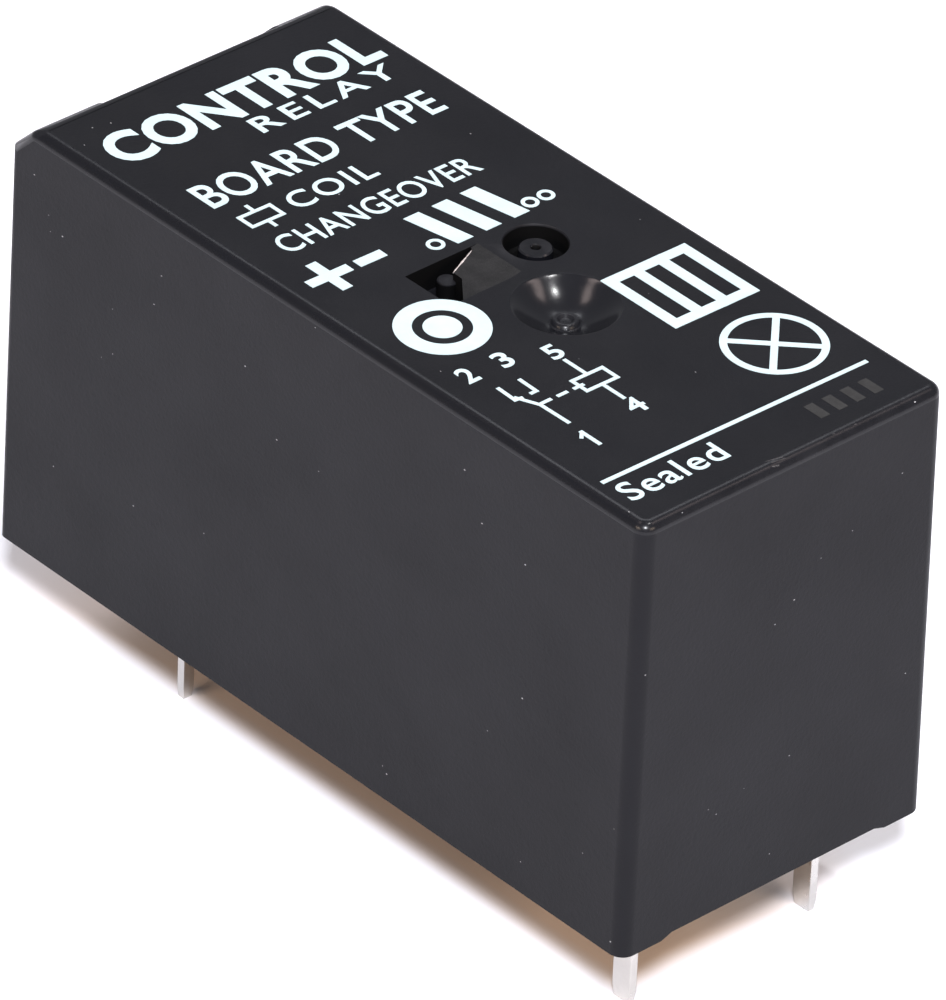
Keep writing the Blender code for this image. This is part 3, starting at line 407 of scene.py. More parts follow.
def evaluated(made):
    """The mesh of an object with its modifiers applied; the object is then removed."""
    bpy.context.view_layer.update()
    graph = bpy.context.evaluated_depsgraph_get()
    mesh = bpy.data.meshes.new_from_object(
        made.evaluated_get(graph), preserve_all_data_layers=True, depsgraph=graph
    )
    bpy.data.objects.remove(made, do_unlink=True)
    return mesh


def combine(mesh, steps):
    """Cuts or joins helper shapes, in order: (operation, bmesh function)."""
    body = temporary("working_body", mesh)
    helpers = []
    for operation, build in steps:
        bm = bmesh.new()
        build(bm)
        helper = temporary("working_tool", mesh_of(bm, "working_tool"))
        helper.hide_render = True
        helpers.append(helper)
        step = body.modifiers.new(operation, "BOOLEAN")
        step.operation = operation
        step.object = helper
        step.solver = "EXACT"
    done = evaluated(body)
    for helper in helpers:
        bpy.data.objects.remove(helper, do_unlink=True)
    return done


def mark_wear(mesh, small):
    """Marks the points whose faces are all small, which are the ones on rounded edges."""
    largest = [0.0] * len(mesh.vertices)
    for face in mesh.polygons:
        for corner in face.vertices:
            largest[corner] = max(largest[corner], face.area)
    layer = mesh.attributes.new("wear", "FLOAT", "POINT")
    layer.data.foreach_set("value", [1.0 if area < small else 0.0 for area in largest])


def soften(mesh, width, segments=2, angle=32.0, small=None):
    """Rounds a mesh's crisp edges, evens its shading and marks its edges for wear."""
    body = temporary("working_body", mesh)
    mesh.shade_smooth()
    rounding = body.modifiers.new("edges", "BEVEL")
    rounding.width = width
    rounding.segments = segments
    rounding.limit_method = "ANGLE"
    rounding.angle_limit = math.radians(angle)
    rounding.miter_outer = "MITER_ARC"
    evening = body.modifiers.new("shading", "WEIGHTED_NORMAL")
    evening.keep_sharp = False
    evening.weight = 60
    done = evaluated(body)
    mark_wear(done, small if small else 4.0 * width * width)
    return done


def finish_piece(name, mesh, slots, body, replaced=()):
    """Makes a mesh in metres a finished piece that rides on a body."""
    mesh.name = name
    mesh.materials.clear()
    for slot in slots:
        mesh.materials.append(finish_of(slot))
    made = temporary(name, mesh)
    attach(made, body)
    if replaced:
        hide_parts(*replaced)
    return made


def to_metres(mesh):
    """Turns a mesh in millimetres above the case's rim into one in metres above the pin tips."""
    mesh.transform(Matrix.Scale(MM, 4) @ Matrix.Translation((0, 0, RIM)))
    return mesh


def skin_rings(bm, rings, caps=True):
    """Joins rings of points, one after another, and closes the two ends."""
    for lower, upper in zip(rings, rings[1:]):
        for k in range(len(lower)):
            after = (k + 1) % len(lower)
            bm.faces.new((lower[k], lower[after], upper[after], upper[k]))
    if caps:
        bm.faces.new(rings[0])
        bm.faces.new(rings[-1])


def add_prism(bm, outline, start, end, axis="Z"):
    """Extrudes an outline: (x, y) points along Z, or (x, z) points along Y."""
    rings = []
    for level in (start, end):
        if axis == "Z":
            rings.append([bm.verts.new((a, b, level)) for a, b in outline])
        else:
            rings.append([bm.verts.new((a, level, b)) for a, b in outline])
    skin_rings(bm, rings)


def add_turning(bm, profile, place, segments=72):
    """Turns (radius, height) points about an upright line; the first and last points lie on it."""
    x, y = place
    rings = []
    for radius, z in profile[1:-1]:
        ring = []
        for k in range(segments):
            angle = 2 * math.pi * k / segments
            ring.append(bm.verts.new((x + radius * math.cos(angle), y + radius * math.sin(angle), z)))
        rings.append(ring)
    skin_rings(bm, rings, caps=False)
    for ring, (_, z) in ((rings[0], profile[0]), (rings[-1], profile[-1])):
        tip = bm.verts.new((x, y, z))
        for k in range(segments):
            bm.faces.new((ring[k], ring[(k + 1) % segments], tip))


# The case, in millimetres. Drops are measured down from its top.
WALL = 0.8
TOP_WALL = 0.9
TOP_PAD = 0.5  # how much thicker the top is round its three recesses
PAD_REACH = 1.7  # how far the pad goes past the dish's middle
ROOM_LEAN = 0.15  # what the room inside gives up to the leaning walls
FOOT_LENGTH = 1.85
FOOT_HEIGHT = 0.15
FOOT_SLOPE = 0.22
FAR_CORNER = 0.3  # rounding of the upright corners at the contact end
PANEL_FROM, PANEL_TO = -3.35, 3.85  # the recess down the contact end, across the case
PANEL_DEPTH = 0.12
ABOVE = 1.0  # how far a cutting shape reaches past the face it cuts
PAST_END = 0.5  # the same at the ends

VENT_X, VENT_Y = -0.1, -2.62
VENT_FAR_X = 1.95
VENT_END_Y = 0.34
VENT_SIDE = 0.5
VENT_RAMP_LENGTH = 2.05
VENT_PIT = ((VENT_X, VENT_Y), (VENT_FAR_X, VENT_Y), (VENT_FAR_X, -2.1), (1.04, -1.34), (0.6, -1.3),
            (0.02, -0.02), (VENT_X, 0.03))
VENT_CREST = ((0.03, -0.03), (0.61, -1.3))
NUB_PLACE = (0.45, -1.4)
NUB_RADIUS = 0.32
NUB_DROP = 0.3
NUB_ROOT = 0.2  # how far the nub goes into the floor
NUB_ROUND = ((0.0, 0.07), (0.02, 0.03), (0.07, 0.0))  # its rounded top edge, inward and down
NUB_CROWN = 0.01

GATE_PLACE = (0.95, 1.74)
GATE_FLARE, GATE_LIP = 0.04, 0.06
GATE_FILLET = 0.1
GATE_BOSS_RADIUS = 0.56
GATE_BOSS_DROP = 0.17
GATE_BOSS_FILLET = 0.08
GATE_BOSS_ROUND = 0.07
GATE_DIMPLE_RADIUS = 0.15
GATE_DIMPLE_DEPTH = 0.2
GATE_DIMPLE_TAPER = 0.03
GATE_EDGE = 0.04
DRAFT = 0.02  # how much a small wall leans in

DISH_PLACE = (4.05, 0.17)
DISH_STEPS = 30
DISH_MARGIN = 0.25
DISH_RIM_SHARE = 0.05  # how softly the dish's wall leaves the top, as part of the radius
DISH_LIFT, DISH_BRIM = 0.003, 0.01
DISH_NUB_RADIUS = 0.44
DISH_NUB_HEIGHT = 0.15
DISH_NUB_GAP = 0.06
DISH_NUB_WALL = ((0.02, 0.06), (0.06, 0.015), (0.11, 0.0))  # its rounded edge, inward and down
DISH_NUB_HOLLOW = ((0.6, 0.01), (0.5, 0.05), (0.38, 0.1), (0.0, 0.12))  # parts of its radius, and down

BURR_WIDTH, BURR_HEIGHT = 0.045, 0.035
SCUFF_HEIGHT = 0.008
SCUFFS = (  # each one's two ends, from where the crown starts and from the middle, and its width
    ((-0.05, -0.95), (0.03, -0.62), 0.05),
    ((0.02, -0.6), (0.1, -0.36), 0.04),
    ((0.1, -0.82), (0.16, -0.3), 0.03),
    ((0.2, -0.9), (0.24, -0.62), 0.035),
    ((0.12, 1.62), (0.14, 1.72), 0.03),
    ((0.14, 2.5), (0.16, 2.58), 0.03),
)


def case_outside(bm, sizes):
    """The case's outside: leaning walls, one sloped end, rounded corners and a rounded crown."""
    lean_full, chamfer = sizes.lean / MM, sizes.chamfer / MM

    def corner(side_x, side_y, z, inset=0.0):
        lean = lean_full * z / HEIGHT
        return bm.verts.new((side_x * (HALF_LENGTH - lean - inset), side_y * (HALF_WIDTH - lean), z))

    foot = {(sx, sy): corner(sx, sy, 0.0) for sx in (-1, 1) for sy in (-1, 1)}
    crown = {(1, sy): corner(1, sy, HEIGHT) for sy in (-1, 1)}
    crown.update({(-1, sy): corner(-1, sy, HEIGHT, chamfer) for sy in (-1, 1)})
    neck = {sy: corner(-1, sy, HEIGHT - chamfer) for sy in (-1, 1)}
    for sy in (-1, 1):
        bm.faces.new((foot[-1, sy], foot[1, sy], crown[1, sy], crown[-1, sy], neck[sy]))
    bm.faces.new((foot[1, -1], foot[1, 1], crown[1, 1], crown[1, -1]))
    bm.faces.new((foot[-1, -1], foot[-1, 1], neck[1], neck[-1]))
    bm.faces.new((neck[-1], neck[1], crown[-1, 1], crown[-1, -1]))
    bm.faces.new((foot[-1, -1], foot[1, -1], foot[1, 1], foot[-1, 1]))
    bm.faces.new((crown[-1, -1], crown[1, -1], crown[1, 1], crown[-1, 1]))
    bmesh.ops.recalc_face_normals(bm, faces=bm.faces)
    upright = [e for e in bm.edges if abs(e.verts[0].co.z - e.verts[1].co.z) > chamfer / 2]
    for end, radius in ((1, sizes.corner / MM), (-1, FAR_CORNER)):
        edges = [e for e in upright if e.is_valid and e.verts[0].co.x * end > 0]
        bmesh.ops.bevel(bm, geom=edges, offset=radius, segments=10, profile=0.5, affect="EDGES")
    rim = [e for e in bm.edges if min(v.co.z for v in e.verts) > HEIGHT - 1e-4]
    bmesh.ops.bevel(bm, geom=rim, offset=sizes.crown / MM, segments=8, profile=0.5, affect="EDGES")


def case_room(bm):
    room_x = HALF_LENGTH - ROOM_LEAN - WALL
    room_y = HALF_WIDTH - ROOM_LEAN - WALL
    ceiling = HEIGHT - TOP_WALL
    pad_to = DISH_PLACE[0] + PAD_REACH + WALL
    outline = [
        (-room_x, -ABOVE),
        (room_x, -ABOVE),
        (room_x, ceiling),
        (pad_to, ceiling),
        (pad_to, ceiling - TOP_PAD),
        (VENT_X - WALL, ceiling - TOP_PAD),
        (VENT_X - WALL, ceiling),
        (-room_x, ceiling),
    ]
    add_prism(bm, outline, -room_y, room_y, "Y")


def vent_ramp(bm, sizes):
    """A shallow ramp that is deepest by the pit and fades out away from it, with one leaning side."""
    rings = []
    for x, depth in ((VENT_X, sizes.vent_ramp / MM), (VENT_X + VENT_RAMP_LENGTH, 0.0)):
        outline = [
            (VENT_Y, HEIGHT - depth),
            (VENT_END_Y - VENT_SIDE, HEIGHT - depth),
            (VENT_END_Y, HEIGHT + 0.002),
            (VENT_END_Y, HEIGHT + ABOVE),
            (VENT_Y, HEIGHT + ABOVE),
        ]
        rings.append([bm.verts.new((x, y, z)) for y, z in outline])
    skin_rings(bm, rings)


def vent_pit(bm, sizes):
    add_prism(bm, VENT_PIT, HEIGHT - sizes.vent_depth / MM, HEIGHT + ABOVE)


def vent_nub(bm, sizes):
    top = HEIGHT - NUB_DROP
    root = HEIGHT - sizes.vent_depth / MM - NUB_ROOT
    profile = [(0, root), (NUB_RADIUS, root)]
    profile += [(NUB_RADIUS - inward, top - down) for inward, down in NUB_ROUND]
    profile.append((0, top + NUB_CROWN))
    add_turning(bm, profile, NUB_PLACE, 40)


def gate_well(bm, sizes):
    floor = HEIGHT - sizes.gate_depth / MM
    radius = sizes.gate_radius / MM
    boss, boss_top = GATE_BOSS_RADIUS, HEIGHT - GATE_BOSS_DROP
    dimple, dimple_floor = GATE_DIMPLE_RADIUS, boss_top - GATE_DIMPLE_DEPTH
    profile = [
        (0, HEIGHT + ABOVE),
        (radius + GATE_FLARE, HEIGHT + ABOVE),
        (radius + GATE_FLARE, HEIGHT),
        (radius, HEIGHT - GATE_LIP),
        (radius - DRAFT, floor + GATE_FILLET),
        (radius - GATE_FILLET, floor),
        (boss + GATE_BOSS_FILLET, floor),
        (boss, floor + GATE_BOSS_FILLET),
        (boss - DRAFT, boss_top - GATE_EDGE),
        (boss - GATE_BOSS_ROUND, boss_top),
        (dimple + GATE_DIMPLE_TAPER, boss_top),
        (dimple, boss_top - GATE_EDGE),
        (dimple - GATE_DIMPLE_TAPER, dimple_floor),
        (0, dimple_floor),
    ]
    add_turning(bm, profile, GATE_PLACE)


def dish(bm, sizes):
    """A smooth bowl with a small hollow stud standing at its middle."""
    radius, depth = sizes.dish_radius / MM, sizes.dish_depth / MM
    brim = radius + DISH_MARGIN
    profile = [(0, HEIGHT + ABOVE), (brim, HEIGHT + ABOVE), (brim, HEIGHT + DISH_BRIM)]
    for k in range(DISH_STEPS + 1):
        across = 1.0 - k / DISH_STEPS * (1.0 - (DISH_NUB_RADIUS + DISH_NUB_GAP) / radius)
        inward = 1.0 - across
        drop = depth * (1.0 - across**2) * inward / (inward + DISH_RIM_SHARE)
        profile.append((radius * across, HEIGHT + DISH_LIFT - drop))
    floor = profile[-1][1]
    top = floor + DISH_NUB_HEIGHT
    profile.append((DISH_NUB_RADIUS + DRAFT, floor + DRAFT))
    profile += [(DISH_NUB_RADIUS - inward, top - down) for inward, down in DISH_NUB_WALL]
    profile += [(part * DISH_NUB_RADIUS, top - down) for part, down in DISH_NUB_HOLLOW]
    add_turning(bm, profile, DISH_PLACE, 96)


def end_panel(bm, sizes):
    foot_x = -HALF_LENGTH + PANEL_DEPTH
    neck_x = foot_x + sizes.lean / MM
    chamfer = sizes.chamfer / MM
    outline = [
        (-HALF_LENGTH - ABOVE, -ABOVE),
        (foot_x, -ABOVE),
        (foot_x, 0.0),
        (neck_x, HEIGHT - chamfer),
        (neck_x + chamfer + PAST_END, HEIGHT + PAST_END),
        (-HALF_LENGTH - ABOVE, HEIGHT + PAST_END),
    ]
    add_prism(bm, outline, PANEL_FROM, PANEL_TO, "Y")


def foot_gaps(bm):
    """The raised middle of each end's lower edge, sloping down to the feet."""
    inner = HALF_LENGTH - ROOM_LEAN - WALL - PAST_END
    outer = HALF_LENGTH + PAST_END
    reach = HALF_WIDTH - FOOT_LENGTH
    outline = [
        (-reach - FOOT_SLOPE, -ABOVE),
        (reach + FOOT_SLOPE, -ABOVE),
        (reach + FOOT_SLOPE, 0.0),
        (reach - FOOT_SLOPE, FOOT_HEIGHT),
        (-reach + FOOT_SLOPE, FOOT_HEIGHT),
        (-reach - FOOT_SLOPE, 0.0),
    ]
    for side in (-1, 1):
        skin_rings(bm, [[bm.verts.new((side * x, y, z)) for y, z in outline] for x in (inner, outer)])


# Indices of the case's finishes; the recess one is painted shade, darker than the case, for faces down in the
# pits.
MATTE, POLISHED, CUT, ROUNDED, PAINTED_SHADE_RECESS = range(5)
CASE_SLOTS = ("case_plastic", "case_polished", "case_cut", "case_rim", "case_recess")
CASE_WEAR = 0.9  # the largest face that counts as part of an edge, in square millimetres


RIM_REACH = 1.15  # how far inwards the top's rounding counts as rim, in crown radii
RIM_TILT = (0.02, 0.9985)  # between upright walls and the flat top, as the height of the normal


def on_rim(middle, normal, sizes):
    """Whether a face belongs to the rounding round the top."""
    lean, crown = sizes.lean / MM, sizes.crown / MM
    edge = max(abs(middle.x) - (HALF_LENGTH - lean), abs(middle.y) - (HALF_WIDTH - lean))
    edge = max(edge, -middle.x - (HALF_LENGTH - lean - sizes.chamfer / MM))
    return edge > -RIM_REACH * crown and RIM_TILT[0] < normal.z < RIM_TILT[1]


def case_part(middle, normal, sizes):
    """Which of the case's finishes a face takes, from where it is and which way it points."""
    below = HEIGHT - middle.z
    if below > sizes.vent_depth / MM + 0.05:
        return MATTE
    from_dish, from_gate, from_nub = (
        math.hypot(middle.x - x, middle.y - y) for x, y in (DISH_PLACE, GATE_PLACE, NUB_PLACE)
    )
    if from_dish < sizes.dish_radius / MM and below > 0.012:
        return POLISHED if from_dish > DISH_NUB_RADIUS + 0.1 else ROUNDED
    # Walls and floors in the gate well and the vent pit take the darker recess finish: painted shade.
    if from_gate < sizes.gate_radius / MM + 0.03 and below > 0.05:
        if GATE_BOSS_RADIUS - 0.09 < from_gate < GATE_BOSS_RADIUS and 0.02 < normal.z < 0.98:
            return POLISHED
        on_boss = GATE_DIMPLE_RADIUS <= from_gate <= GATE_BOSS_RADIUS - 0.03
        return MATTE if on_boss else PAINTED_SHADE_RECESS
    in_vent = VENT_X - 0.1 < middle.x < VENT_FAR_X + 0.02 and VENT_Y - 0.1 < middle.y < VENT_END_Y + 0.02
    if in_vent and below > 0.004:
        if from_nub < NUB_RADIUS + 0.01:
            return MATTE if normal.z > 0.3 else PAINTED_SHADE_RECESS
        return CUT if normal.z > 0.75 and below < sizes.vent_ramp / MM + 0.05 else PAINTED_SHADE_RECESS
    return ROUNDED if on_rim(middle, normal, sizes) else MATTE


class RELAY_OT_case(bpy.types.Operator):
    """Makes the moulded case with its vent, gate well, polished dish and feet"""

    bl_idname = "relay.case"
    bl_label = "Case"

    def execute(self, context):
        sizes = context.scene.relay_case
        bm = bmesh.new()
        case_outside(bm, sizes)
        mesh = combine(
            mesh_of(bm, "case_shell"),
            [
                ("DIFFERENCE", case_room),
                ("DIFFERENCE", lambda b: vent_ramp(b, sizes)),
                ("DIFFERENCE", lambda b: vent_pit(b, sizes)),
                ("UNION", lambda b: vent_nub(b, sizes)),
                ("DIFFERENCE", lambda b: gate_well(b, sizes)),
                ("DIFFERENCE", lambda b: dish(b, sizes)),
                ("DIFFERENCE", lambda b: end_panel(b, sizes)),
                ("DIFFERENCE", foot_gaps),
            ],
        )
        mesh = soften(mesh, sizes.softening / MM, small=CASE_WEAR)
        parts = [case_part(face.center, face.normal, sizes) for face in mesh.polygons]
        made = finish_piece("case_shell", to_metres(mesh), CASE_SLOTS, "housing", ("cover",))
        made.data.polygons.foreach_set("material_index", parts)
        return {"FINISHED"}


# Print on the top. The page runs across the case: its left is -Y and its foot is +X, and a point on it is
# (across, down) in millimetres.
INK_ROOT = -0.01  # where the print starts, under the top's surface
FILM_STEP, FILM_CYCLE = 0.00006, 97
TITLE = (  # words, left, right, head, foot, weight and spacing
    ("CONTROL", -5.13, 5.3, -11.72, -9.96, 0.034, 1.06),
    ("RELAY", -0.66, 4.9, -9.68, -8.82, 0.012, 1.3),
)
WORDS = (
    ("BOARD TYPE", -4.65, 4.74, -7.86, -6.5, 0.012, 1.05),
    ("COIL", -2.66, 0.6, -5.79, -4.87, 0.01, 1.15),
    ("CHANGEOVER", -4.5, 3.26, -4.17, -3.2, 0.008, 1.05),
    ("Sealed", -5.38, -1.52, 12.12, 13.08, 0.01, 1.1),
)
PIN_NUMBERS = (
    ("2", -5.0, -4.5, 4.66, 5.48, 0.02, 1.0),
    ("3", -3.6, -3.1, 4.7, 5.52, 0.02, 1.0),
    ("5", -2.15, -1.65, 5.34, 6.12, 0.02, 1.0),
    ("4", -2.2, -1.62, 8.96, 9.74, 0.02, 1.0),
)
FIGURE_ONE = (  # two lines, each with its width
    (((-4.12, 9.44), (-4.12, 10.2)), 0.14),
    (((-4.14, 9.46), (-4.31, 9.64)), 0.12),
)
RULE, RULE_WIDTH = (((-5.38, 11.78), (5.02, 11.95)),), 0.16
SIGNS = (
    ((-5.0, -1.55), (-3.78, -1.53)),
    ((-4.39, -2.2), (-4.39, -0.88)),
    ((-3.1, -1.51), (-2.45, -1.5)),
)
HEAVY_WIDTH = 0.4
BAR_LEFTS = (-0.55, 0.6, 1.75)
BAR = ((-2.52, 0.0), (-2.52, 0.62), (-0.46, 1.02), (-0.46, 0.4))  # down, and across from its left
BAR_RINGS = ((-0.72, -0.85, 0.3, 0.17), (3.1, -0.82, 0.29, 0.16), (3.75, -0.82, 0.29, 0.16))
TARGET = (-3.58, 2.67)
TARGET_RING, TARGET_DISC = (1.5, 0.92), 0.6
FRAME_LINES = (
    ((2.05, 3.95), (5.0, 4.0)),
    ((2.05, 6.9), (5.0, 6.95)),
    ((2.02, 3.95), (2.02, 6.9)),
    ((5.02, 4.0), (5.02, 6.95)),
    ((3.02, 3.97), (3.02, 6.92)),
    ((4.02, 3.98), (4.02, 6.94)),
)
LAMP = (3.58, 9.54)
LAMP_RING = (1.66, 1.42)
LAMP_REACH, LAMP_WIDTH = 1.08, 0.23
DIAGRAM = (
    ((-4.49, 6.2), (-4.52, 6.95)),
    ((-4.52, 6.95), (-4.3, 6.98)),
    ((-3.68, 6.25), (-3.7, 6.98)),
    ((-3.7, 6.98), (-3.88, 6.98)),
    ((-4.42, 6.88), (-4.1, 7.6)),
    ((-4.1, 7.6), (-4.08, 8.8)),
    ((-1.92, 6.3), (-1.92, 7.2)),
    ((-1.92, 7.98), (-1.92, 8.86)),
    ((-2.52, 7.25), (-1.32, 7.27)),
    ((-2.52, 7.92), (-1.32, 7.94)),
    ((-2.52, 7.25), (-2.52, 7.92)),
    ((-1.32, 7.27), (-1.32, 7.94)),
    ((-4.41, -5.66), (-3.2, -5.64)),
    ((-4.41, -5.02), (-3.2, -5.0)),
    ((-4.41, -5.66), (-4.41, -5.02)),
    ((-3.2, -5.64), (-3.2, -5.0)),
    ((-3.8, -6.0), (-3.8, -5.66)),
    ((-3.8, -5.0), (-3.8, -4.68)),
)
DIAGRAM_WIDTH = 0.13
DASHES = (3, (7.57, -3.84), (0.01, 0.64), (0.13, 0.42))  # count, start, step and size, each down then across
GHOSTS = (4, (12.95, 2.1), (0.012, 0.72), (0.78, 0.36))
GHOST_FILM = 0.006


def add_plate(bm, outline, film):
    """A printed shape; each one added to a bmesh lies a hair over the last, so that crossings stay clean."""
    level = film + FILM_STEP * (len(bm.faces) % FILM_CYCLE)
    skin_rings(bm, [[bm.verts.new((x, y, TOP + z)) for x, y in outline] for z in (INK_ROOT, level)])


def add_stroke(bm, line, width, film):
    """A straight printed line between two points."""
    start, end = Vector(line[0]), Vector(line[1])
    along = (end - start).normalized() * (width / 2)
    side = Vector((-along.y, along.x))
    corners = [start - along + side, end + along + side, end + along - side, start - along - side]
    add_plate(bm, [(c.y, c.x) for c in corners], film)


def add_ring(bm, middle, outer, inner, film, steps=72):
    across, down = middle
    rings = []
    for radius, level in ((inner, INK_ROOT), (outer, INK_ROOT), (outer, film), (inner, film)):
        ring = []
        for k in range(steps):
            angle = 2 * math.pi * k / steps
            point = (down + radius * math.sin(angle), across + radius * math.cos(angle), TOP + level)
            ring.append(bm.verts.new(point))
        rings.append(ring)
    skin_rings(bm, rings + rings[:1], caps=False)


def add_disc(bm, middle, radius, film, steps=48):
    across, down = middle
    turn = 2 * math.pi / steps
    around = [(math.sin(k * turn), math.cos(k * turn)) for k in range(steps)]
    add_plate(bm, [(down + radius * a, across + radius * b) for a, b in around], film)


def lettering(line, sizes):
    """Flat letters that fill a box on the page, as a mesh in millimetres."""
    words, left, right, head, foot, weight, space = line
    text = bpy.data.curves.new("working_text", "FONT")
    text.body = words
    text.size = 1.0
    text.offset = weight
    text.space_character = space
    text.resolution_u = 5
    text.extrude = 0.5
    mesh = evaluated(temporary("working_text", text))
    points = [v.co.copy() for v in mesh.vertices]
    low_x, high_x = min(p.x for p in points), max(p.x for p in points)
    low_y, high_y = min(p.y for p in points), max(p.y for p in points)
    stretch_x = (right - left) / (high_x - low_x)
    stretch_y = (foot - head) / (high_y - low_y)
    for vertex, p in zip(mesh.vertices, points):
        across = left + (p.x - low_x) * stretch_x
        down = foot - (p.y - low_y) * stretch_y
        level = TOP + (sizes.film / MM if p.z > 0 else INK_ROOT)
        vertex.co = (down + sizes.slant * (across - left), across, level)
    bm = bmesh.new()
    bm.from_mesh(mesh)
    bmesh.ops.remove_doubles(bm, verts=bm.verts, dist=1e-4)
    bpy.data.meshes.remove(mesh)
    return bm


def join_print(name, parts):
    """Joins several small bmeshes in millimetres into one printed piece."""
    whole = bmesh.new()
    for part in parts:
        held = bpy.data.meshes.new("working_print")
        part.to_mesh(held)
        part.free()
        whole.from_mesh(held)
        bpy.data.meshes.remove(held)
    mesh = mesh_of(whole, name)
    mesh.transform(Matrix.Scale(MM, 4))
    finish_piece(name, mesh, ("printed_ink",), "housing")


def print_lines(name, lines, width, film):
    bm = bmesh.new()
    for line in lines:
        add_stroke(bm, line, width, film)
    join_print(name, [bm])


class RELAY_OT_print_lines(bpy.types.Operator):
    """Prints the lines of plain words and the rule on the top"""

    bl_idname = "relay.print_lines"
    bl_label = "Printed lines"

    def execute(self, context):
        sizes = context.scene.relay_print
        join_print("print_title", [lettering(line, sizes) for line in TITLE])
        join_print("print_words", [lettering(line, sizes) for line in WORDS])
        print_lines("print_rule", RULE, RULE_WIDTH, sizes.film / MM)
        return {"FINISHED"}


class RELAY_OT_print_marks(bpy.types.Operator):
    """Prints plain symbols: signs, slanted bars, rings and a barred frame"""

    bl_idname = "relay.print_marks"
    bl_label = "Printed symbols"

    def execute(self, context):
        film = context.scene.relay_print.film / MM
        print_lines("print_signs", SIGNS, HEAVY_WIDTH, film)

        bars = bmesh.new()
        for left in BAR_LEFTS:
            add_plate(bars, [(down, left + across) for down, across in BAR], film)
        for across, down, outer, inner in BAR_RINGS:
            add_ring(bars, (across, down), outer, inner, film, steps=32)
        join_print("print_bars", [bars])

        target = bmesh.new()
        add_ring(target, TARGET, *TARGET_RING, film)
        add_disc(target, TARGET, TARGET_DISC, film)
        join_print("print_target", [target])
        print_lines("print_block", FRAME_LINES, HEAVY_WIDTH, film)

        lamp = bmesh.new()
        add_ring(lamp, LAMP, *LAMP_RING, film)
        for side in (-1, 1):
            reach = Vector((LAMP_REACH, side * LAMP_REACH))
            add_stroke(lamp, (Vector(LAMP) - reach, Vector(LAMP) + reach), LAMP_WIDTH, film)
        join_print("print_lamp", [lamp])
        return {"FINISHED"}


class RELAY_OT_print_diagram(bpy.types.Operator):
    """Prints the wiring diagram with its plain pin numbers"""

    bl_idname = "relay.print_diagram"
    bl_label = "Printed diagram"

    def execute(self, context):
        sizes = context.scene.relay_print
        film = sizes.film / MM
        print_lines("print_diagram", DIAGRAM, DIAGRAM_WIDTH, film)
        parts = [lettering(line, sizes) for line in PIN_NUMBERS]
        one = bmesh.new()
        for line, width in FIGURE_ONE:
            add_stroke(one, line, width, film)
        join_print("print_pin_numbers", parts + [one])
        make_row("print_dashes", DASHES, film, "printed_ink")
        make_row("embossed_marks", GHOSTS, GHOST_FILM, "embossed_mark")
        return {"FINISHED"}


def node_tree(name, inputs):
    """An empty geometry tree with a geometry output and named inputs; returns it and its identifiers."""
    tree = bpy.data.node_groups.new(name, "GeometryNodeTree")
    tree.is_modifier = True
    tree.interface.new_socket(name="Geometry", in_out="INPUT", socket_type="NodeSocketGeometry")
    tree.interface.new_socket(name="Geometry", in_out="OUTPUT", socket_type="NodeSocketGeometry")
    keys = {}
    for label, kind, value in inputs:
        socket = tree.interface.new_socket(name=label, in_out="INPUT", socket_type=kind)
        if value is not None:
            socket.default_value = value
        keys[label] = socket.identifier
    return tree, tree.nodes.new("NodeGroupInput"), tree.nodes.new("NodeGroupOutput"), keys


def grown(name, tree, keys, values, source=None):
    """Runs a geometry tree on an object and returns the plain mesh that it grows."""
    made = temporary(name, source if source else bpy.data.meshes.new(name))
    step = made.modifiers.new("growth", "NODES")
    step.node_group = tree
    for label, value in values.items():
        step[keys[label]] = value
    return evaluated(made)


def end_with_material(tree, geometry, material, end):
    real = add_node(tree, "GeometryNodeRealizeInstances", Geometry=geometry)
    paint = add_node(tree, "GeometryNodeSetMaterial", Geometry=real.outputs[0], Material=material)
    tree.links.new(paint.outputs[0], end.inputs[0])


TREES = {}


def row_tree():
    """Small raised blocks in a straight row."""
    if "row" not in TREES:
        tree, start, end, keys = node_tree(
            "row_of_marks",
            [
                ("Count", "NodeSocketInt", 3),
                ("Start", "NodeSocketVector", None),
                ("Step", "NodeSocketVector", None),
                ("Size", "NodeSocketVector", None),
                ("Material", "NodeSocketMaterial", None),
            ],
        )
        given = start.outputs
        spots = add_node(tree, "GeometryNodeMeshLine", Count=given["Count"], Start_Location=given["Start"],
                         Offset=given["Step"]).outputs[0]
        block = add_node(tree, "GeometryNodeMeshCube", Size=given["Size"]).outputs[0]
        place = add_node(tree, "GeometryNodeInstanceOnPoints", Points=spots, Instance=block)
        end_with_material(tree, place.outputs[0], given["Material"], end)
        TREES["row"] = (tree, keys)
    return TREES["row"]


def make_row(name, row, film, slot):
    tree, keys = row_tree()
    count, at, step, size = row
    depth = film - INK_ROOT
    values = {
        "Count": count,
        "Start": (at[0] * MM, at[1] * MM, (TOP + film - depth / 2) * MM),
        "Step": (step[0] * MM, step[1] * MM, 0.0),
        "Size": (size[0] * MM, size[1] * MM, depth * MM),
        "Material": finish_of(slot),
    }
    finish_piece(name, grown(name, tree, keys, values), (slot,), "housing")


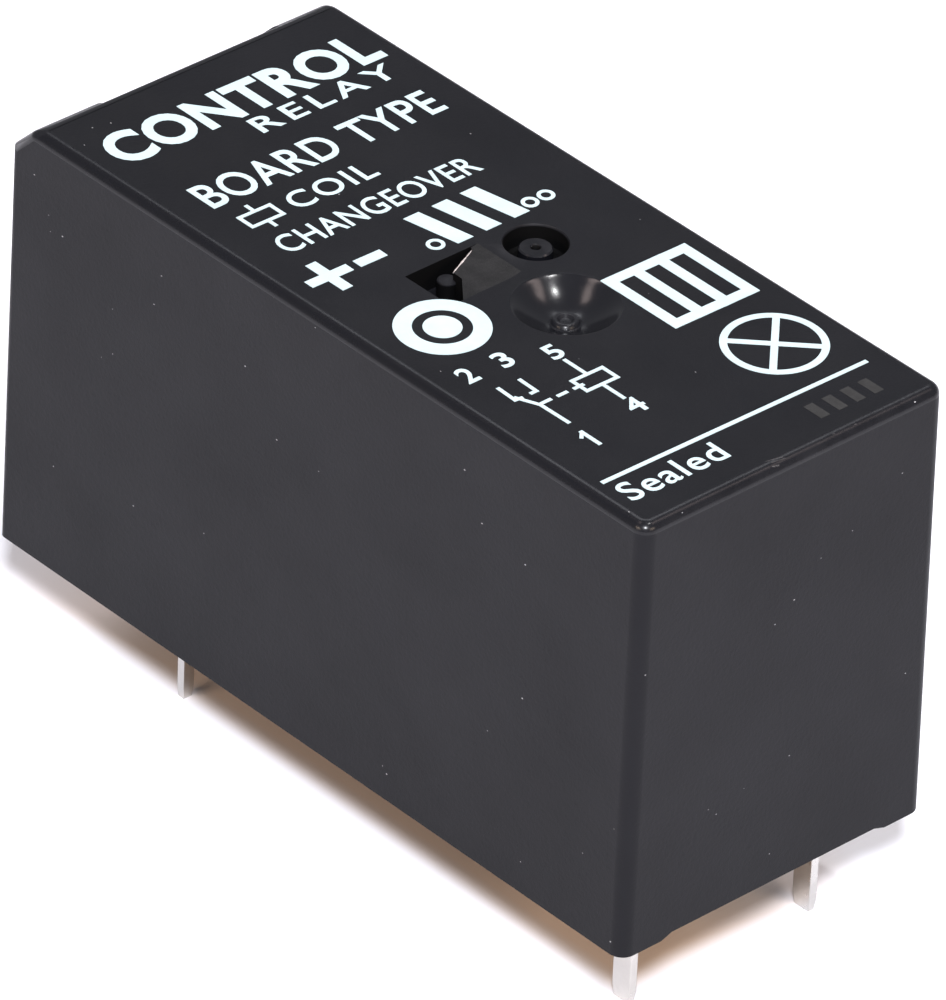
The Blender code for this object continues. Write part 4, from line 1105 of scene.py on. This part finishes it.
def wire_tree():
    """A close helix of round wire along Z."""
    tree, start, end, keys = node_tree(
        "wire_turns",
        [
            ("Turns", "NodeSocketFloat", 100.0),
            ("Radius", "NodeSocketFloat", 0.004),
            ("Length", "NodeSocketFloat", 0.01),
            ("Wire Radius", "NodeSocketFloat", 0.00005),
            ("Material", "NodeSocketMaterial", None),
        ],
    )
    given = start.outputs
    path = add_node(tree, "GeometryNodeCurveSpiral", Resolution=28, Rotations=given["Turns"],
                    Start_Radius=given["Radius"], End_Radius=given["Radius"], Height=given["Length"])
    section = add_node(tree, "GeometryNodeCurvePrimitiveCircle", Resolution=6, Radius=given["Wire Radius"])
    sweep = add_node(tree, "GeometryNodeCurveToMesh", Curve=path.outputs[0], Profile_Curve=section.outputs[0],
                     Fill_Caps=True)
    smooth = tree.nodes.new("GeometryNodeSetShadeSmooth")
    tree.links.new(sweep.outputs[0], smooth.inputs[0])
    end_with_material(tree, smooth.outputs[0], given["Material"], end)
    return tree, keys


FLAKE_SHAPE = (1.0, 0.6, 0.25)


def speck_tree():
    """Small flakes scattered over a surface."""
    tree, start, end, keys = node_tree(
        "scattered_specks",
        [
            ("Density", "NodeSocketFloat", 20000.0),
            ("Seed", "NodeSocketInt", 7),
            ("Smallest", "NodeSocketFloat", 0.3),
            ("Largest", "NodeSocketFloat", 1.0),
            ("Size", "NodeSocketFloat", 0.00004),
            ("Material", "NodeSocketMaterial", None),
        ],
    )
    given = start.outputs
    scatter = add_node(tree, "GeometryNodeDistributePointsOnFaces", Mesh=given["Geometry"],
                       Density=given["Density"], Seed=given["Seed"])
    flake = add_node(tree, "GeometryNodeMeshIcoSphere", Subdivisions=1, Radius=given["Size"])
    flatten = add_node(tree, "GeometryNodeTransform", Geometry=flake.outputs[0], Scale=FLAKE_SHAPE)
    sizes = add_node(tree, "FunctionNodeRandomValue", Seed=given["Seed"])
    fill(tree, sizes.inputs[2], given["Smallest"])  # the random number's least and most
    fill(tree, sizes.inputs[3], given["Largest"])
    place = add_node(tree, "GeometryNodeInstanceOnPoints", Points=scatter.outputs["Points"],
                     Instance=flatten.outputs[0], Rotation=scatter.outputs["Rotation"],
                     Scale=sizes.outputs[1])
    end_with_material(tree, place.outputs[0], given["Material"], end)
    return tree, keys


SPECKS = {"Density": 60000.0, "Seed": 11, "Smallest": 0.35, "Largest": 1.0, "Size": 0.045 * MM}
CLEAN_RIM, CLEAN_MARGIN, CLEAN_DEPTH = 1.0, 0.5, 0.45  # where no dust lies: near the rim, and in hollows


def gets_no_dust(face):
    middle = face.calc_center_median()
    along, across = (HALF_LENGTH - CLEAN_MARGIN) * MM, (HALF_WIDTH - CLEAN_MARGIN) * MM
    in_hollow = abs(middle.x) < along and abs(middle.y) < across and middle.z < (TOP - CLEAN_DEPTH) * MM
    return in_hollow or middle.z < (RIM + CLEAN_RIM) * MM


class RELAY_OT_dust(bpy.types.Operator):
    """Scatters a few small specks of dust over the case"""

    bl_idname = "relay.dust"
    bl_label = "Dust specks"

    def execute(self, context):
        shell = bpy.data.objects["case_shell"].data.copy()
        bm = bmesh.new()
        bm.from_mesh(shell)
        bmesh.ops.delete(bm, geom=[f for f in bm.faces if gets_no_dust(f)], context="FACES")
        bm.to_mesh(shell)
        bm.free()
        mesh = grown("dust_specks", *speck_tree(), {**SPECKS, "Material": finish_of("dust")}, shell)
        finish_piece("dust_specks", mesh, ("dust",), "housing")
        return {"FINISHED"}


def merged_copy(node):
    """A copy of a CAD node's mesh with its points merged and its flat faces joined, in metres."""
    bm = bmesh.new()
    bm.from_mesh(frame["nodes"][node].data)
    bmesh.ops.remove_doubles(bm, verts=bm.verts, dist=2e-7)
    bmesh.ops.dissolve_limit(bm, angle_limit=math.radians(1.0), verts=bm.verts, edges=bm.edges)
    mesh = bpy.data.meshes.new(node + "_finished")
    bm.to_mesh(mesh)
    bm.free()
    return mesh


def refine(node, width, segments=2, angle=32.0):
    """Stands a piece with softened edges in a CAD node's place."""
    mesh = merged_copy(node)
    mesh.transform(Matrix.Scale(1 / MM, 4))
    mesh = soften(mesh, width, segments, angle)
    mesh.transform(Matrix.Scale(MM, 4))
    slot = SLOT_OF[node]
    return finish_piece(node + "_finished", mesh, (slot,), BODY_OF[node], (node,))


SLIVER_ROOT = 0.03


def add_sliver(bm, ends, level_at, width, height, steps=14):
    """A thin ragged ridge along a line between two (x, y) points."""
    start, end = Vector(ends[0]), Vector(ends[1])
    along = (end - start).normalized()
    side = Vector((along.y, -along.x)) * width
    rings = []
    for k in range(steps + 1):
        at = start.lerp(end, k / steps)
        level = level_at(at)
        ragged = 1.0 + 0.35 * math.sin(5.1 * k) * math.cos(2.3 * k)
        fade = math.sin(math.pi * (k + 0.6) / (steps + 1.2)) ** 0.4
        reach, crest = side * ragged * fade, height * ragged * fade
        rings.append(
            [
                bm.verts.new((at.x - reach.x, at.y - reach.y, level - SLIVER_ROOT)),
                bm.verts.new((at.x, at.y, level + crest)),
                bm.verts.new((at.x + reach.x, at.y + reach.y, level - SLIVER_ROOT)),
            ]
        )
    skin_rings(bm, rings)


class RELAY_OT_burr(bpy.types.Operator):
    """Leaves the pale burr along the crest of the vent's pit and small scuffs on the coil end's edge"""

    bl_idname = "relay.burr"
    bl_label = "Burr and scuffs"

    def execute(self, context):
        sizes = context.scene.relay_case
        drop, crown = sizes.vent_ramp / MM, sizes.crown / MM
        edge = HALF_LENGTH - sizes.lean / MM - crown

        def on_ramp(at):
            return HEIGHT - drop * (1.0 - (at.x - VENT_X) / VENT_RAMP_LENGTH)

        def on_crown(at):
            past = min(max(at.x - edge, 0.0), 0.9 * crown)
            return HEIGHT - crown + math.sqrt(crown**2 - past**2)

        burr = bmesh.new()
        add_sliver(burr, VENT_CREST, on_ramp, BURR_WIDTH, BURR_HEIGHT)
        finish_piece("vent_burr", to_metres(mesh_of(burr, "vent_burr")), ("stressed_plastic",), "housing")
        scuffs = bmesh.new()
        for first, last, width in SCUFFS:
            ends = ((edge + first[0], first[1]), (edge + last[0], last[1]))
            add_sliver(scuffs, ends, on_crown, width, SCUFF_HEIGHT, 8)
        mesh = to_metres(mesh_of(scuffs, "edge_scuffs"))
        finish_piece("edge_scuffs", mesh, ("scuffed_plastic",), "housing")
        return {"FINISHED"}


PIN_EDGES = {  # each piece with how far its edges are rounded, in millimetres
    "coil_a_terminal": 0.045,
    "coil_b_terminal": 0.045,
    "common_terminal": 0.04,
    "closed_terminal": 0.04,
    "open_terminal": 0.04,
}
MAGNET_EDGES = {"core": 0.06, "yoke": 0.08, "armature": 0.05, "armature_clip": 0.03}
MOULDING_EDGES = {"base": 0.06, "bobbin": 0.05, "barrier": 0.05, "actuator_card": 0.06}
CONTACT_EDGES = {
    "contact_blade": 0.025,
    "blade_foot": 0.025,
    "blade_rivet_1": 0.03,
    "blade_rivet_2": 0.03,
    "closed_contact": 0.03,
    "open_contact": 0.03,
    "moving_contact": 0.03,
}


def refine_all(edges, segments=2):
    for node, width in edges.items():
        refine(node, width, segments)
    return {"FINISHED"}


class RELAY_OT_pins(bpy.types.Operator):
    """Finishes the coil pins and the contact terminals with softly rounded edges"""

    bl_idname = "relay.pins"
    bl_label = "Pins and terminals"

    def execute(self, context):
        return refine_all(PIN_EDGES, 3)


class RELAY_OT_magnet(bpy.types.Operator):
    """Finishes the core, yoke, armature and its clip"""

    bl_idname = "relay.magnet"
    bl_label = "Magnet"

    def execute(self, context):
        return refine_all(MAGNET_EDGES)


class RELAY_OT_mouldings(bpy.types.Operator):
    """Finishes the base, bobbin, barrier and actuator card"""

    bl_idname = "relay.mouldings"
    bl_label = "Inner mouldings"

    def execute(self, context):
        return refine_all(MOULDING_EDGES)


class RELAY_OT_contacts(bpy.types.Operator):
    """Finishes the blade, its foot and rivets, and the three silver contacts"""

    bl_idname = "relay.contacts"
    bl_label = "Contacts"

    def execute(self, context):
        return refine_all(CONTACT_EDGES)


WIRE = 0.055 * MM
TAPE_EDGE = 0.02


class RELAY_OT_coil(bpy.types.Operator):
    """Winds the coil wire and finishes the tape and leads"""

    bl_idname = "relay.coil"
    bl_label = "Coil"

    def execute(self, context):
        low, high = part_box("coil_winding")
        run = high.x - low.x - 2 * WIRE
        values = {
            "Turns": float(int(run / (2 * WIRE))),
            "Radius": (high.y - low.y) / 2 - WIRE,
            "Length": run,
            "Wire Radius": WIRE,
            "Material": finish_of("copper_wire"),
        }
        mesh = grown("coil_turns", *wire_tree(), values)
        turn = Matrix.Rotation(math.pi / 2, 4, "Y")
        mesh.transform(Matrix.Translation((low.x + WIRE, 0.0, (low.z + high.z) / 2)) @ turn)
        finish_piece("coil_turns", mesh, ("copper_wire",), "housing", ())
        refine("coil_tape", TAPE_EDGE)
        for node in ("coil_winding", "coil_a_lead", "coil_b_lead"):
            frame["nodes"][node].data.materials[0] = finish_of(SLOT_OF[node])
        return {"FINISHED"}


RESIN_GRID = (120, 52)
RESIN_LEVEL = 0.06
RESIN_SWELL, RESIN_WAVES = 0.018, (900.0, 1300.0)
PIN_CREEP, PIN_CREEP_REACH = 0.13, 0.5
WALL_CREEP, WALL_CREEP_REACH = 0.07, 0.35
RESIN_SMOOTH = 40.0


class RELAY_OT_resin(bpy.types.Operator):
    """Pours the sealing resin, which creeps up the pins and the case wall"""

    bl_idname = "relay.resin"
    bl_label = "Sealing resin"

    def execute(self, context):
        low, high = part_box("sealing_resin")
        pins = []
        for node in (n for n in SLOT_OF if n.endswith("_terminal")):
            tips = [v.co for v in frame["nodes"][node].data.vertices if v.co.z < RIM * MM]
            pins.append((sum(t.x for t in tips) / len(tips), sum(t.y for t in tips) / len(tips)))
        across, deep = RESIN_GRID
        bm = bmesh.new()
        grid = []
        for i in range(across + 1):
            column = []
            for j in range(deep + 1):
                x = low.x + (high.x - low.x) * i / across
                y = low.y + (high.y - low.y) * j / deep
                nearest = min(math.hypot(x - px, y - py) for px, py in pins)
                wall = min(x - low.x, high.x - x, y - low.y, high.y - y)
                creep = PIN_CREEP * math.exp(-nearest / (PIN_CREEP_REACH * MM))
                creep += WALL_CREEP * math.exp(-wall / (WALL_CREEP_REACH * MM))
                swell = RESIN_SWELL * (math.sin(x * RESIN_WAVES[0]) * math.cos(y * RESIN_WAVES[1]) + 1.0)
                column.append(bm.verts.new((x, y, low.z + (swell - creep + RESIN_LEVEL) * MM)))
            grid.append(column)
        roof = [[bm.verts.new((v.co.x, v.co.y, high.z)) for v in column] for column in grid]
        for i in range(across):
            for j in range(deep):
                bm.faces.new((grid[i][j], grid[i][j + 1], grid[i + 1][j + 1], grid[i + 1][j]))
                bm.faces.new((roof[i][j], roof[i + 1][j], roof[i + 1][j + 1], roof[i][j + 1]))
        for i in range(across):
            for j in (0, deep):
                bm.faces.new((grid[i][j], grid[i + 1][j], roof[i + 1][j], roof[i][j]))
        for j in range(deep):
            for i in (0, across):
                bm.faces.new((grid[i][j], grid[i][j + 1], roof[i][j + 1], roof[i][j]))
        mesh = mesh_of(bm, "resin_fill")
        mesh.shade_smooth()
        mesh.set_sharp_from_angle(angle=math.radians(RESIN_SMOOTH))
        finish_piece("resin_fill", mesh, ("resin",), "housing", ("sealing_resin",))
        return {"FINISHED"}


COOL = (0.93, 0.945, 1.0)
BLUSH = (1.0, 0.82, 0.78)
WARM = (1.0, 0.8, 0.62)
WHITE = (1.0, 1.0, 1.0)
LIGHTS = (  # name, which way it stands, how far off, width and height in metres, its setting, and its colour
    ("front_lamp", (0.78, -0.7, 1.0), 0.6, (0.07, 0.07), "front", COOL),
    ("low_left", (-0.1, -1.0, 0.45), 0.6, (0.3, 0.1), "low", WARM),
    ("low_right", (1.0, 0.1, 0.45), 0.6, (0.3, 0.1), "low", WARM),
    ("overhead", (0.25, 0.16, 0.957), 0.42, (0.02, 0.035), "overhead", WHITE),
    ("canopy", (-0.43, 0.4, 0.8), 0.5, (0.3, 0.12), "canopy", COOL),
    ("left_box", (-0.33, -0.28, 0.9), 0.5, (0.16, 0.08), "side", BLUSH),
    ("right_box", (0.32, 0.49, 0.81), 0.5, (0.16, 0.08), "side", BLUSH),
)
CAMERA_PLACE = (0.204118, -0.191853, 0.196554)  # from the rim's plane at the case's middle
CAMERA_RIGHT = (0.66674106, 0.74435907, 0.03722807)
CAMERA_UP = (-0.43928416, 0.35214395, 0.8264527)
CAMERA_BACK = (0.60206793, -0.56738365, 0.56177398)
CAMERA_LENS, CAMERA_SENSOR = 397.84, 36.0
CAMERA_RANGE = (0.01, 10.0)
FLOOR_SIZE = 1.5
FLOOR_ROUGHNESS, FLOOR_SPECULAR = 0.6, 0.2
SHADE_INSIDE = (3.3, 2.2)  # how far inside the two near edges the floor's painted warm shadow is full, and gone, in mm
SHADE_ACROSS = (-1.0, 7.0)  # where it starts to fade towards the far side, and where it is gone, in mm
SHADE_ALONG = (-9.0, -18.0)  # the same towards the far end


def soft_light(name, way, distance, size, power, target, colour):
    """An area light that stands out along a direction from its target and faces it."""
    data = bpy.data.lights.new(name, "AREA")
    data.shape = "RECTANGLE"
    data.size, data.size_y = size
    data.energy = power
    data.color = colour
    made = temporary(name, data)
    made.location = Vector(target) + Vector(way).normalized() * distance
    made.rotation_euler = (Vector(target) - made.location).to_track_quat("-Z", "Y").to_euler()


def floor_look(pale, shade):
    """A pale floor with a painted warm shadow under the relay that fades out towards its far sides."""
    made = bpy.data.materials.new("floor")
    made.use_nodes = True
    tree = made.node_tree
    place = tree.nodes.new("ShaderNodeTexCoord").outputs["Object"]
    split = add_node(tree, "ShaderNodeSeparateXYZ", Vector=place)
    full, gone = SHADE_INSIDE
    amount = 0.0
    for axis, start, end in (
        ("X", HALF_LENGTH - full, HALF_LENGTH - gone),
        ("X", *SHADE_ALONG),
        ("Y", full - HALF_WIDTH, gone - HALF_WIDTH),
        ("Y", *SHADE_ACROSS),
    ):
        fade = add_ramp(tree, split.outputs[axis], start * MM, end * MM)
        amount = add_math(tree, "MAXIMUM", fade, amount)
    shader = tree.nodes["Principled BSDF"].inputs
    # Painted shadow: the shade colour is mixed into the floor's own colour under the relay.
    fill(tree, shader["Base Color"], add_mix(tree, amount, shade, pale))
    fill(tree, shader["Roughness"], FLOOR_ROUGHNESS)
    fill(tree, shader["Specular IOR Level"], FLOOR_SPECULAR)
    return made


class RELAY_OT_stage(bpy.types.Operator):
    """Sets the pale floor, the soft lights and the camera"""

    bl_idname = "relay.stage"
    bl_label = "Stage"

    def execute(self, context):
        scene = context.scene
        stage = scene.relay_stage
        bm = bmesh.new()
        bmesh.ops.create_grid(bm, x_segments=4, y_segments=4, size=FLOOR_SIZE)
        mesh = bpy.data.meshes.new("floor")
        bm.to_mesh(mesh)
        bm.free()
        mesh.materials.append(floor_look(tuple(stage.floor), tuple(stage.painted_floor_shadow)))
        temporary("floor", mesh)

        world = bpy.data.worlds.new("studio")
        world.use_nodes = True
        sky = world.node_tree.nodes["Background"]
        sky.inputs["Color"].default_value = (*COOL, 1.0)
        sky.inputs["Strength"].default_value = stage.room
        scene.world = world
        scene.view_settings.view_transform = "Standard"
        scene.view_settings.look = "None"
        middle = (0.0, 0.0, (RIM + HEIGHT / 2) * MM)
        for name, way, distance, size, setting, colour in LIGHTS:
            soft_light(name, way, distance, size, getattr(stage, setting), middle, colour)

        data = bpy.data.cameras.new("camera")
        data.lens = CAMERA_LENS
        data.sensor_width = CAMERA_SENSOR
        data.clip_start, data.clip_end = CAMERA_RANGE
        camera = temporary("camera", data)
        turn = Matrix((CAMERA_RIGHT, CAMERA_UP, CAMERA_BACK)).transposed()
        place = Vector(CAMERA_PLACE) + Vector((0.0, 0.0, RIM * MM))
        camera.matrix_world = Matrix.Translation(place) @ turn.to_4x4()
        scene.camera = camera
        return {"FINISHED"}


OPERATORS = (
    RELAY_OT_case,
    RELAY_OT_burr,
    RELAY_OT_pins,
    RELAY_OT_resin,
    RELAY_OT_magnet,
    RELAY_OT_coil,
    RELAY_OT_mouldings,
    RELAY_OT_contacts,
    RELAY_OT_print_lines,
    RELAY_OT_print_marks,
    RELAY_OT_print_diagram,
    RELAY_OT_dust,
    RELAY_OT_stage,
)
SETTINGS = (
    ("relay_case", RelayCaseSizes),
    ("relay_print", RelayPrintSizes),
    ("relay_finish", RelayFinish),
    ("relay_stage", RelayStage),
)


class RELAY_PT_parts(bpy.types.Panel):
    """Lists the relay's pieces and their settings"""

    bl_idname = "RELAY_PT_parts"
    bl_label = "Control relay"
    bl_space_type = "VIEW_3D"
    bl_region_type = "UI"
    bl_category = "Relay"

    def draw(self, context):
        for name, kind in SETTINGS:
            box = self.layout.box()
            for label in kind.__annotations__:
                box.prop(getattr(context.scene, name), label)
        for operator in OPERATORS:
            self.layout.operator(operator.bl_idname)


def register():
    for name, kind in SETTINGS:
        bpy.utils.register_class(kind)
        setattr(bpy.types.Scene, name, bpy.props.PointerProperty(type=kind))
    for kind in (*OPERATORS, RELAY_PT_parts):
        bpy.utils.register_class(kind)


def unregister():
    for kind in reversed((*OPERATORS, RELAY_PT_parts)):
        bpy.utils.unregister_class(kind)
    for name, kind in reversed(SETTINGS):
        delattr(bpy.types.Scene, name)
        bpy.utils.unregister_class(kind)


def main():
    register()
    for operator in OPERATORS:
        group, action = operator.bl_idname.split(".")
        getattr(getattr(bpy.ops, group), action)()


if __name__ == "__main__":
    main()
